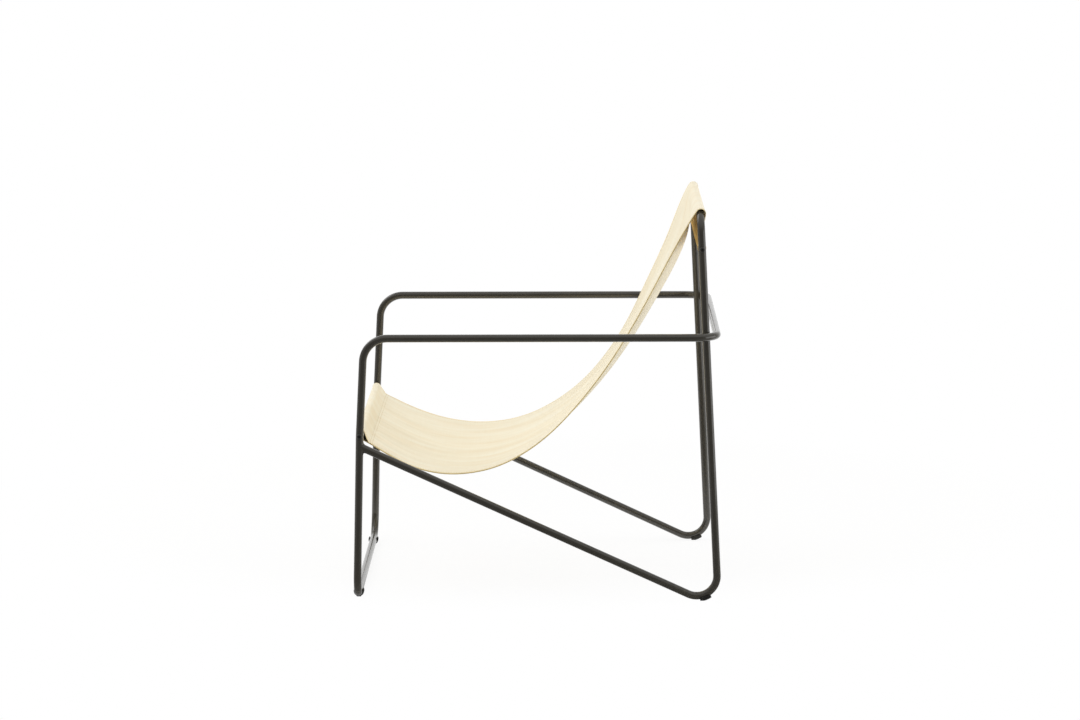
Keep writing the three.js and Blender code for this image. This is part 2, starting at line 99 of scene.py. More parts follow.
@dataclass(frozen=True)
class ChairSizes:
    """The chair's driving sizes, and the places on the frame that follow from them."""

    width: float = 630.0
    depth: float = 728.0
    height: float = 773.0
    # A 15 mm tube under its coat.
    tube: float = 15.24
    arm_height: float = 526.0
    seat_bar_height: float = 333.0
    floor_bar_lift: float = 3.3
    floor_bend_lift: float = 1.0
    glide_reach: float = 2.7
    cloth_over_bar: float = 2.1
    rear_bar_drop: float = 68.0
    diagonal_drop: float = 21.0
    back_bar_gap: float = 6.4
    rear_foot_inset: float = 14.5
    arm_touch_gap: float = 0.563
    arm_bend: float = 48.0
    rear_bend: float = 40.0
    gentle_bend: float = 400.0
    gentle_lead: float = 85.0
    lower_leg_lean: float = math.radians(1.5)
    upper_leg_lean: float = math.radians(3.0)
    upright_lean: float = math.radians(2.7)

    @property
    def tube_radius(self) -> float:
        """The outer radius of the frame tube."""
        return self.tube / 2

    @property
    def arm_x(self) -> float:
        """How far from the middle the legs and arms stand."""
        return self.width / 2 - self.tube_radius

    @property
    def foot_x(self) -> float:
        """How far from the middle the rear floor bends stand."""
        return self.arm_x - self.rear_foot_inset

    @property
    def floor_bar(self) -> Vector:
        """A point on the axis of the front floor bar."""
        y = self.glide_reach + self.tube_radius - self.depth / 2
        return Vector((0, y, self.floor_bar_lift + self.tube_radius))

    @property
    def top_z(self) -> float:
        """The height of the top bar's axis."""
        return self.height - self.cloth_over_bar - self.tube_radius

    @property
    def bend_centre(self) -> Vector:
        """The middle of the rear floor bend on the left side."""
        rise = self.floor_bend_lift + self.tube_radius + self.rear_bend
        return Vector((self.foot_x, self.depth / 2 - self.tube_radius - self.rear_bend, rise))

    @property
    def top_bar(self) -> Vector:
        """A point on the axis of the top bar."""
        return Vector((0, self.upright_y(self.top_z), self.top_z))

    @property
    def rear_bar(self) -> Vector:
        """A point on the axis of the bar that holds the flap."""
        level = self.top_z - self.rear_bar_drop
        return Vector((0, self.upright_y(level), level))

    @property
    def front_bar(self) -> Vector:
        """A point on the axis of the bar that holds the front pocket."""
        return Vector((0, self.leg_y(self.seat_bar_height), self.seat_bar_height))

    @property
    def back_bar_y(self) -> float:
        """How far back the bar between the arms stands."""
        return self.upright_y(self.arm_height) + self.tube + self.back_bar_gap

    @property
    def touch_x(self) -> float:
        """Finds where an upright nests in the rear bend of its arm.

        Returns:
            How far from the middle the upright's axis stands there.
        """
        nest = self.arm_bend - self.tube - self.arm_touch_gap
        behind = self.upright_y(self.arm_height) - (self.back_bar_y - self.arm_bend)
        return self.arm_x - self.arm_bend + math.sqrt(nest ** 2 - behind ** 2)

    @property
    def diagonal_start(self) -> Vector:
        """Where the axis of the left diagonal meets the axis of its leg."""
        level = self.seat_bar_height - self.diagonal_drop
        return Vector((self.arm_x, self.leg_y(level), level))

    @property
    def floor_corner(self) -> Vector:
        """Finds where the lines of the left diagonal and the left upright would cross.

        Returns:
            The corner that the rear floor bend rounds off.
        """
        start, centre = self.diagonal_start, self.bend_centre
        away = Vector((centre.y - start.y, centre.z - start.z))
        slope = math.atan2(away.y, away.x) - math.asin(self.rear_bend / away.length)
        rise = math.tan(slope)
        lean = math.tan(self.upright_lean)
        y = (self.upright_y(start.z) + lean * rise * start.y) / (1 + lean * rise)
        return Vector((self.foot_x, y, start.z + rise * (y - start.y)))

    @property
    def inward_z(self) -> float:
        """The height from which the uprights lean inwards."""
        return self.floor_corner.z + self.gentle_lead * math.cos(self.upright_lean)

    def leg_y(self, z: float) -> float:
        """Finds the axis of a front leg, which bends a little at the seat bar.

        Args:
            z: The height to look at.

        Returns:
            The axis's place along Y there.
        """
        knee = min(z, self.seat_bar_height)
        low = self.floor_bar.y + (knee - self.floor_bar.z) * math.tan(self.lower_leg_lean)
        return low + (z - knee) * math.tan(self.upper_leg_lean)

    def upright_y(self, z: float) -> float:
        """How far back the axis of an upright stands at a height."""
        centre, lean = self.bend_centre, self.upright_lean
        return centre.y + self.rear_bend / math.cos(lean) - (z - centre.z) * math.tan(lean)

    def upright_x(self, z: float) -> float:
        """How far from the middle the axis of an upright stands at a height."""
        share = (z - self.inward_z) / (self.arm_height - self.inward_z)
        return self.foot_x + (self.touch_x - self.foot_x) * share


def linear_colour(code: str) -> tuple[float, float, float, float]:
    """Turns an sRGB hex code into the linear colour that a shader takes.

    Args:
        code: The colour as #rrggbb.

    Returns:
        Red, green, blue and an alpha of one.
    """
    parts = [int(code[at:at + 2], 16) / 255 for at in (1, 3, 5)]
    # The numbers are those of the sRGB curve: a straight foot, then a power.
    red, green, blue = (part / 12.92 if part <= 0.04045 else ((part + 0.055) / 1.055) ** 2.4
                        for part in parts)
    return red, green, blue, 1.0


def add_node(tree: NodeTree, kind: str, settings: dict | None = None, links: dict | None = None) -> Node:
    """Adds one shader node with its settings and the links into it.

    Args:
        tree: The node tree that takes the node.
        kind: The node's type in Blender, without the ShaderNode that each of them starts with.
        settings: Values by the node's own property name, or by an input's name or number.
        links: The output that feeds each input, by the input's name or number.

    Returns:
        The new node.
    """
    node = tree.nodes.new(f"ShaderNode{kind}")
    for key, value in (settings or {}).items():
        if isinstance(key, int) or key in node.inputs:
            node.inputs[key].default_value = value
        else:
            setattr(node, key, value)
    for key, source in (links or {}).items():
        tree.links.new(source, node.inputs[key])
    return node


def per_metre(size: float) -> float:
    """How many times a pattern of a size in millimetres repeats in a metre."""
    return 1.0 / (size * MM)


@dataclass(frozen=True)
class Finish(ABC):
    """What all finishes have: the name of the real material, and the nodes that show it."""

    title: str

    def material(self) -> Material:
        """Makes the finish's material.

        Returns:
            The material, which pieces can share.
        """
        material = bpy.data.materials.new(self.title)
        material.use_nodes = True
        tree = material.node_tree
        tree.nodes.clear()
        add_node(tree, "OutputMaterial", links={"Surface": self.surface(tree)})
        return material

    @abstractmethod
    def surface(self, tree: NodeTree) -> NodeSocket:
        """Lays out the finish's nodes.

        Args:
            tree: The material's node tree.

        Returns:
            The output of the finished shader.
        """


@dataclass(frozen=True)
class TwoTone(Finish):
    """A finish whose colour runs between a dark and a light tone."""

    dark: str
    light: str

    @property
    def tones(self) -> dict[str | int, object]:
        """The settings of a Mix node that runs from the dark tone to the light one."""
        return {"data_type": "RGBA", COLOUR_A: linear_colour(self.dark), COLOUR_B: linear_colour(self.light)}


class Pattern(Enum):
    """What a finish's tones follow: a texture node, its output, its repeat at scale one and its settings."""

    CLOUDS = ("TexNoise", 0, 1.0, {"Detail": 3.0})
    STAINS = ("TexNoise", 0, 1.0, {"Detail": 4.0})
    SCUFFS = ("TexNoise", 0, 1.0, {"Detail": 5.0})
    CRYSTALS = ("TexVoronoi", "Color", 1.0, {})
    PLIES = ("TexWave", "Fac", WAVE, {"bands_direction": "DIAGONAL"})


@dataclass(frozen=True)
class Relief:
    """A fine relief of noise: its size and depth in millimetres, its detail and how strongly it shows."""

    size: float
    depth: float
    detail: float
    strength: float


@dataclass(frozen=True)
class Patterned(TwoTone):
    """A finish whose tones, and perhaps its roughness, follow a pattern of a real size."""

    pattern: Pattern
    pattern_size: float
    # From smooth to rough, over a stretch of the pattern. The same number twice is an even roughness.
    roughness: tuple[float, float]
    spread: tuple[float, float] = (0.0, 1.0)
    relief: Relief | None = None
    metallic: float = 0.0
    clear: float = 0.0
    clear_roughness: float = 0.03

    def surface(self, tree: NodeTree) -> NodeSocket:
        """Lays out the finish's nodes.

        Args:
            tree: The material's node tree.

        Returns:
            The output of the finished shader.
        """
        place = add_node(tree, "TexCoord").outputs["Object"]
        kind, output, repeat, settings = self.pattern.value
        pattern = add_node(tree, kind, {"Scale": repeat * per_metre(self.pattern_size), **settings},
                           {"Vector": place}).outputs[output]
        links = {"Base Color": add_node(tree, "Mix", self.tones, {FACTOR: pattern}).outputs[MIXED_COLOUR]}
        smooth, rough = self.roughness
        if smooth != rough:
            low, high = self.spread
            links["Roughness"] = add_node(
                tree, "MapRange", {"From Min": low, "From Max": high, "To Min": smooth, "To Max": rough},
                {"Value": pattern}).outputs[0]
        if self.relief:
            height = add_node(
                tree, "TexNoise", {"Scale": per_metre(self.relief.size), "Detail": self.relief.detail},
                {"Vector": place}).outputs[0]
            links["Normal"] = add_node(
                tree, "Bump", {"Strength": self.relief.strength, "Distance": self.relief.depth * MM},
                {"Height": height}).outputs[0]
        return add_node(tree, "BsdfPrincipled",
                        {"Roughness": smooth, "Metallic": self.metallic, "Coat Weight": self.clear,
                         "Coat Roughness": self.clear_roughness}, links).outputs[0]


@dataclass(frozen=True)
class PowderCoat(Patterned):
    """Near-black powder coat under a clear coat: a warm black with clean highlights and faint orange peel."""

    title: str = "satin black powder coat"
    dark: str = "#3a372f"
    light: str = "#433f36"
    pattern: Pattern = Pattern.CLOUDS
    pattern_size: float = 38.0
    roughness: tuple[float, float] = (0.17, 0.23)
    spread: tuple[float, float] = (0.3, 0.7)
    relief: Relief | None = Relief(size=1.6, depth=0.003, detail=1.0, strength=0.5)
    clear: float = 0.45
    clear_roughness: float = 0.1


@dataclass(frozen=True)
class BlackOxide(Patterned):
    """Blackened bolt steel: the oxide skin shows as a dull charcoal with an uneven gleam."""

    title: str = "black oxide steel"
    dark: str = "#2c2a25"
    light: str = "#3b3832"
    pattern: Pattern = Pattern.STAINS
    pattern_size: float = 4.0
    roughness: tuple[float, float] = (0.34, 0.5)


@dataclass(frozen=True)
class ZincPlate(Patterned):
    """Zinc plated steel of the hidden sleeves and plugs: pale grey metal with a crystal pattern."""

    title: str = "zinc plated steel"
    dark: str = "#8d9396"
    light: str = "#bcc1c4"
    pattern: Pattern = Pattern.CRYSTALS
    pattern_size: float = 7.0
    roughness: tuple[float, float] = (0.38, 0.38)
    metallic: float = 1.0


@dataclass(frozen=True)
class MouldedNylon(Patterned):
    """Moulded black nylon of the glides: matter than the coat beside it, with a fine spark-eroded grain."""

    title: str = "moulded black nylon"
    dark: str = "#15140f"
    light: str = "#23211c"
    pattern: Pattern = Pattern.SCUFFS
    pattern_size: float = 9.0
    roughness: tuple[float, float] = (0.62, 0.62)
    relief: Relief | None = Relief(size=0.8, depth=0.03, detail=2.0, strength=0.6)


@dataclass(frozen=True)
class SewingThread(Patterned):
    """Cream sewing thread: a little deeper in colour than the canvas, with the soft gleam of twisted yarn."""

    title: str = "cream sewing thread"
    dark: str = "#d8c595"
    light: str = "#efe0ba"
    pattern: Pattern = Pattern.PLIES
    pattern_size: float = 1.0
    roughness: tuple[float, float] = (0.6, 0.6)


@dataclass(frozen=True)
class CottonCanvas(TwoTone):
    """Cream cotton canvas: a matt plain weave with uneven threads, tan at the folded edges.

    Inside the flap, where light comes through the cloth and bounces between its faces, a warm gold shade is
    painted into the colour.
    """

    title: str = "cream cotton canvas"
    dark: str = "#f3e6c8"
    light: str = "#f9f2dc"
    edge: str = "#f3dca2"
    # A warm gold painted shade for the faces that lie in the shade inside the flap.
    golden: str = "#f8d688"
    # Whether it is for the under face of the cloth, which lies inside the flap and so takes the painted gold
    # shade where the flap hangs.
    under: bool = False
    # The real threads are about 0.7 mm apart. They are drawn at twice that, to show in a close view.
    thread: float = 1.4
    thread_depth: float = 0.16
    thread_strength: float = 0.25
    # Thick stretches of thread, so many threads wide, and how much the crosswise ones count.
    slub_threads: int = 3
    slub_length: float = 130.0
    cross_share: float = 0.3
    # Width and length of the long cloudy streaks, and how much they count beside the slubs.
    streak: tuple[float, float] = (42.0, 240.0)
    streak_share: float = 0.65
    tone_spread: tuple[float, float] = (0.35, 0.65)
    roughness: float = 0.88
    gloss: float = 0.2
    sheen: float = 0.08

    def surface(self, tree: NodeTree) -> NodeSocket:
        """Lays out the canvas's nodes on the flat cut of the cloth.

        Args:
            tree: The material's node tree.

        Returns:
            The output of the finished shader.
        """
        cut = add_node(tree, "UVMap", {"uv_map": "flat_cut"}).outputs[0]
        warp, weft = (
            add_node(tree, "TexWave", {"bands_direction": way, "Scale": WAVE * per_metre(self.thread)},
                     {"Vector": cut}).outputs["Fac"]
            for way in ("X", "Y"))
        over = add_node(tree, "TexChecker", {"Scale": per_metre(self.thread)}, {"Vector": cut}).outputs["Fac"]
        weave = add_node(tree, "Mix", {}, {FACTOR: over, VALUE_A: warp, VALUE_B: weft}).outputs[MIXED_VALUE]
        slub_width = self.slub_threads * self.thread
        sizes = ((slub_width, self.slub_length), (self.slub_length, slub_width), self.streak)
        long_threads, cross_threads, streaks = (
            add_node(tree, "TexNoise", {"Scale": 1.0, "Detail": 2.0}, {"Vector": add_node(
                tree, "Mapping", {"Scale": (per_metre(across), per_metre(along), 1.0)},
                {"Vector": cut}).outputs[0]}).outputs[0]
            for across, along in sizes)
        slub = add_node(tree, "Mix", {FACTOR: self.cross_share},
                        {VALUE_A: long_threads, VALUE_B: cross_threads}).outputs[MIXED_VALUE]
        tone = add_node(tree, "Mix", {FACTOR: self.streak_share},
                        {VALUE_A: slub, VALUE_B: streaks}).outputs[MIXED_VALUE]
        low, high = self.tone_spread
        spread = add_node(tree, "MapRange", {"From Min": low, "From Max": high}, {"Value": tone}).outputs[0]
        cream = add_node(tree, "Mix", self.tones, {FACTOR: spread}).outputs[MIXED_COLOUR]
        fold = add_node(tree, "Attribute", {"attribute_name": "fold"}).outputs["Fac"]
        hemmed = add_node(tree, "Mix", {"data_type": "RGBA", COLOUR_B: linear_colour(self.edge)},
                          {FACTOR: fold, COLOUR_A: cream}).outputs[MIXED_COLOUR]
        # The faces that lie in the shade inside the flap are painted a warm gold: a painted shade.
        tuck = add_node(tree, "Attribute", {"attribute_name": "tuck"}).outputs["Fac"]
        shown, hidden = (Tuck.NEITHER, Tuck.UNDER_FACE) if self.under else (Tuck.UNDER_FACE, Tuck.BOTH_FACES)
        painted_shade = add_node(tree, "MapRange", {"From Min": shown.value, "From Max": hidden.value},
                          {"Value": tuck}).outputs[0]
        colour = add_node(tree, "Mix", {"data_type": "RGBA", COLOUR_B: linear_colour(self.golden)},
                          {FACTOR: painted_shade, COLOUR_A: hemmed}).outputs[MIXED_COLOUR]
        bump = add_node(tree, "Bump", {"Strength": self.thread_strength, "Distance": self.thread_depth * MM},
                        {"Height": weave}).outputs[0]
        return add_node(tree, "BsdfPrincipled",
                        {"Roughness": self.roughness, "Specular IOR Level": self.gloss,
                         "Sheen Weight": self.sheen},
                        {"Base Color": colour, "Normal": bump}).outputs[0]


@dataclass(frozen=True)
class Dress:
    """The finishes of one chair, each as a material that pieces can share."""

    coat: Material
    bolt: Material
    zinc: Material
    glide: Material
    canvas: Material
    # The same canvas for the under face, which paints its gold shade on other faces.
    canvas_under: Material
    thread: Material


def smooth_all(bm: BMesh, sharp: float = math.radians(40)) -> None:
    """Shades every face smooth and keeps the edges crisp where the surface turns sharply.

    Args:
        bm: The mesh to shade.
        sharp: The turn from which an edge stays crisp.
    """
    for face in bm.faces:
        face.smooth = True
    for edge in bm.edges:
        edge.smooth = len(edge.link_faces) == 2 and edge.calc_face_angle(0.0) < sharp


def mesh_object(bm: BMesh, name: str, material: Material) -> Object:
    """Turns a mesh in metres into an object of the scene.

    Args:
        bm: The mesh. It is used up.
        name: The object's name.
        material: What it is made of.

    Returns:
        The object.
    """
    mesh = bpy.data.meshes.new(name)
    bm.to_mesh(mesh)
    bm.free()
    mesh.materials.append(material)
    made = bpy.data.objects.new(name, mesh)
    bpy.context.scene.collection.objects.link(made)
    return made


def finish_piece(bm: BMesh, name: str, material: Material, stands_for: str = "",
                 side: Side | None = None) -> Object:
    """Turns a mesh in millimetres into a piece of the chair.

    Args:
        bm: The mesh, on the sitter's left if it is one of a pair. It is used up.
        name: The piece's name, without its side.
        material: What it is made of.
        stands_for: The CAD node that it takes the place of, without its side.
        side: The side that it belongs on if it is one of a pair.

    Returns:
        The piece, riding on the chair.
    """
    mirror, ending = (side.value, f"_{side.word}") if side else (1, "")
    bmesh.ops.scale(bm, vec=(MM * mirror, MM, MM), verts=bm.verts)
    bmesh.ops.recalc_face_normals(bm, faces=bm.faces)
    smooth_all(bm)
    piece = mesh_object(bm, name + ending, material)
    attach(piece, BODY)
    if stands_for:
        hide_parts(stands_for + ending)
    LOG.info("%s: %d faces", piece.name, len(piece.data.polygons))
    return piece


def between_knots(knots: tuple[float, ...], share: float) -> float:
    """Draws a smooth curve through evenly spaced values.

    Args:
        knots: The values, from the start of the curve to its end.
        share: How far along the curve to look, from nought to one.

    Returns:
        The curve's value there.
    """
    last = len(knots) - 1
    low = min(int(share * last), last - 1)
    t = share * last - low
    before, here, there, after = (knots[min(max(at, 0), last)] for at in range(low - 1, low + 3))
    bend = before - 2.5 * here + 2 * there - after / 2 + t * (1.5 * (here - there) + (after - before) / 2)
    return here + t * ((there - before) / 2 + t * bend)


def ring_of(bm: BMesh, places: list[Vector]) -> list[BMEdge]:
    """Lays a closed ring of edges through a row of places.

    Args:
        bm: The mesh that takes the ring.
        places: Where its vertices go, in order.

    Returns:
        The ring's edges.
    """
    verts = bmesh.ops.create_circle(bm, segments=len(places), radius=1.0)["verts"]
    for vert, place in zip(verts, places):
        vert.co = place
    return list({edge for vert in verts for edge in vert.link_edges})


def only(kind: type, parts: list) -> list:
    """The parts of one kind among those that an operator gives back."""
    return [part for part in parts if isinstance(part, kind)]


def close_ends(bm: BMesh) -> None:
    """Closes every open ring of a mesh with a cap."""
    bmesh.ops.holes_fill(bm, edges=[edge for edge in bm.edges if edge.is_boundary], sides=0)


def round_edges(bm: BMesh, sharp: float, offset: float, segments: int) -> None:
    """Takes the sharp edges off a closed mesh.

    Args:
        bm: The mesh.
        sharp: The turn from which an edge is sharp.
        offset: How far from the edge the rounding starts.
        segments: How many faces it takes.
    """
    edges = [edge for edge in bm.edges if edge.calc_face_angle(0.0) > sharp]
    bmesh.ops.bevel(bm, geom=edges, affect="EDGES", offset=offset, segments=segments, profile=0.5,
                    material=-1)


@dataclass
class BentTube:
    """A round tube that runs straight between corners and bends round each of them."""

    corners: list[Vector]
    bends: list[float]
    radius: float
    sides: int = 40
    step: float = math.radians(5)

    def mesh(self) -> tuple[BMesh, list[BMVert]]:
        """Sweeps the tube with both ends open.

        Returns:
            The mesh, and the vertices of the ring it starts from.
        """
        bm = bmesh.new()
        away = (self.corners[1] - self.corners[0]).normalized()
        place = Matrix.Translation(self.corners[0]) @ away.to_track_quat("Z", "Y").to_matrix().to_4x4()
        first = bmesh.ops.create_circle(bm, segments=self.sides, radius=self.radius, matrix=place)["verts"]
        ring = list(bm.edges)
        here = self.corners[0]
        for before, corner, after, bend in zip(self.corners, self.corners[1:], self.corners[2:], self.bends):
            way_in = (corner - before).normalized()
            way_out = (after - corner).normalized()
            turn = way_in.angle(way_out)
            start = corner - way_in * bend * math.tan(turn / 2)
            axis = way_in.cross(way_out).normalized()
            ring = self.run(bm, ring, start - here)
            ring = self.bend(bm, ring, start + axis.cross(way_in) * bend, axis, turn)
            here = corner + way_out * bend * math.tan(turn / 2)
        self.run(bm, ring, self.corners[-1] - here)
        return bm, first

    def run(self, bm: BMesh, ring: list[BMEdge], way: Vector) -> list[BMEdge]:
        """Draws a ring out along a straight line.

        Args:
            bm: The tube's mesh.
            ring: The edges of its open end.
            way: How far the end moves.

        Returns:
            The edges of the new end.
        """
        drawn = bmesh.ops.extrude_edge_only(bm, edges=ring)["geom"]
        bmesh.ops.translate(bm, vec=way, verts=only(BMVert, drawn))
        return only(BMEdge, drawn)

    def bend(self, bm: BMesh, ring: list[BMEdge], centre: Vector, axis: Vector, turn: float) -> list[BMEdge]:
        """Spins a ring round a bend.

        Args:
            bm: The tube's mesh.
            ring: The edges of its open end.
            centre: The middle of the bend.
            axis: The line that the bend turns about.
            turn: How far it turns.

        Returns:
            The edges of the new end.
        """
        corners = {vert for edge in ring for vert in edge.verts}
        spun = bmesh.ops.spin(bm, geom=[*ring, *corners], cent=centre, axis=axis, angle=turn,
                              steps=max(2, math.ceil(turn / self.step)))
        return only(BMEdge, spun["geom_last"])


@dataclass
class ArmLoop:
    """The loop of floor bar, front legs, arms and back bar, in two halves that butt in the middle."""

    sizes: ChairSizes
    half_gap: float = 0.1

    def corners(self) -> list[Vector]:
        """Lays out the axis of the left half.

        Returns:
            Its corners, from the middle of the floor bar to the middle of the back bar.
        """
        size = self.sizes
        bar = size.floor_bar
        return [Vector((self.half_gap, bar.y, bar.z)), Vector((size.arm_x, bar.y, bar.z)),
                Vector((size.arm_x, size.front_bar.y, size.seat_bar_height)),
                Vector((size.arm_x, size.leg_y(size.arm_height), size.arm_height)),
                Vector((size.arm_x, size.back_bar_y, size.arm_height)),
                Vector((self.half_gap, size.back_bar_y, size.arm_height))]

    def build(self, dress: Dress) -> None:
        """Builds both halves.

        Args:
            dress: The chair's finishes.
        """
        size = self.sizes
        bends = [size.arm_bend, size.gentle_bend, size.arm_bend, size.arm_bend]
        for side in Side:
            bm, _ = BentTube(self.corners(), bends, size.tube_radius).mesh()
            close_ends(bm)
            finish_piece(bm, "arm_tube", dress.coat, "arm_loop", side)


@dataclass
class RearLoop:
    """The loop of diagonals, floor bends, uprights and top bar, with its welds to the arm loop."""

    sizes: ChairSizes
    half_gap: float = 0.1
    # The fillet is widest above and below the diagonal, and thins out towards its sides.
    weld_reach: float = 5.0
    weld_least: float = 0.3
    weld_taper: float = 1.3
    # How far the fillet's toes stand proud of the metal, and its heel lies inside the tube and the leg.
    weld_proud: float = 0.05
    weld_heel: tuple[float, float] = (0.6, 0.3)
    # The root is found on a line a little inside the tube, which is sure to meet the leg.
    weld_root: float = 0.99
    weld_round: int = 48
    weld_rows: int = 5
    bead: tuple[float, float, float] = (3.4, 6.2, 6.6)

    def corners(self) -> list[Vector]:
        """Lays out the axis of the left half.

        Returns:
            Its corners, from the front leg to the middle of the top bar.
        """
        size = self.sizes
        corner = size.floor_corner
        back = (size.diagonal_start - corner).normalized()
        lead = corner.copy()
        lead.yz = corner.yz + back.yz.normalized() * size.gentle_lead
        top = size.top_bar
        return [size.diagonal_start, lead, corner,
                Vector((size.foot_x, size.upright_y(size.inward_z), size.inward_z)),
                Vector((size.upright_x(top.z), top.y, top.z)), Vector((self.half_gap, top.y, top.z))]

    def leg_way(self) -> Vector:
        """The direction of a front leg where the diagonal meets it."""
        lean = self.sizes.lower_leg_lean
        return Vector((0, math.sin(lean), math.cos(lean)))

    def to_leg(self, offset: Vector, way: Vector) -> float:
        """How far a line beside the diagonal's axis runs before it leaves the leg.

        Args:
            offset: Where the line starts, from the point where both axes meet.
            way: The diagonal's direction.

        Returns:
            The distance along the diagonal.
        """
        leg = self.leg_way()
        across = offset - leg * offset.dot(leg)
        gain = way - leg * way.dot(leg)
        a, b = gain.dot(gain), across.dot(gain)
        c = across.dot(across) - self.sizes.tube_radius ** 2
        return (math.sqrt(max(0.0, b * b - a * c)) - b) / a

    def build(self, dress: Dress) -> None:
        """Builds both halves with their welds.

        Args:
            dress: The chair's finishes.
        """
        rear, gentle = self.sizes.rear_bend, self.sizes.gentle_bend
        for side in Side:
            corners = self.corners()
            tube, first = BentTube(corners, [gentle, rear, gentle, rear], self.sizes.tube_radius).mesh()
            way = (corners[1] - corners[0]).normalized()
            for vert in first:
                vert.co += way * self.to_leg(vert.co - corners[0], way)
            close_ends(tube)
            for name, node, bm in (("rear_tube", "rear_loop", tube),
                                   ("diagonal_weld", "weld_diagonal", self.fillet(way)),
                                   ("arm_weld", "weld_arm", self.tack())):
                finish_piece(bm, name, dress.coat, node, side)

    def fillet(self, way: Vector) -> BMesh:
        """Models the hollow fillet of weld between diagonal and leg.

        Args:
            way: The diagonal's direction.

        Returns:
            The weld's mesh.
        """
        start, radius = self.sizes.diagonal_start, self.sizes.tube_radius
        flat = (Vector((1, 0, 0)) - way * way.x).normalized()
        up = way.cross(flat)
        in_tube, in_leg = self.weld_heel
        rows: list[list[Vector]] = [[] for _ in range(self.weld_rows + 1)]
        for at in range(self.weld_round):
            angle = math.tau * at / self.weld_round
            lift, aside = math.cos(angle), math.sin(angle)
            out = up * lift + flat * aside
            reach = self.weld_reach * abs(lift) ** self.weld_taper + self.weld_least
            on_leg = up * lift * (radius + reach) + flat * aside * (radius - self.weld_proud)
            on_leg += way * (self.to_leg(on_leg, way) + self.weld_proud)
            on_tube = out * (radius + self.weld_proud)
            root = on_tube + way * self.to_leg(on_tube * self.weld_root, way)
            on_tube = root + way * reach
            for row in range(self.weld_rows):
                share = row / (self.weld_rows - 1)
                bowed = on_leg * (1 - share) ** 2 + on_tube * share ** 2 + root * 2 * share * (1 - share)
                rows[row].append(start + bowed)
            rows[-1].append(start + root - out * in_tube - way * in_leg)
        bm = bmesh.new()
        rings = [ring_of(bm, row) for row in rows]
        for ring, after in zip(rings, rings[1:] + rings[:1]):
            bmesh.ops.bridge_loops(bm, edges=ring + after)
        return bm

    def tack(self) -> BMesh:
        """Models the bead of weld between an upright and the inside of its arm's bend.

        Returns:
            The bead's mesh.
        """
        size = self.sizes
        centre = Vector((size.arm_x - size.arm_bend, size.back_bar_y - size.arm_bend, size.arm_height))
        upright = Vector((size.touch_x, size.upright_y(size.arm_height), size.arm_height))
        out = (upright - centre).normalized()
        turn = Matrix((out, Vector((0, 0, 1)).cross(out), Vector((0, 0, 1)))).transposed().to_4x4()
        place = Matrix.Translation(upright + out * (size.tube_radius + size.arm_touch_gap / 2))
        bm = bmesh.new()
        bmesh.ops.create_uvsphere(bm, u_segments=24, v_segments=16, radius=1.0,
                                  matrix=place @ turn @ Matrix.Diagonal((*self.bead, 1.0)))
        return bm


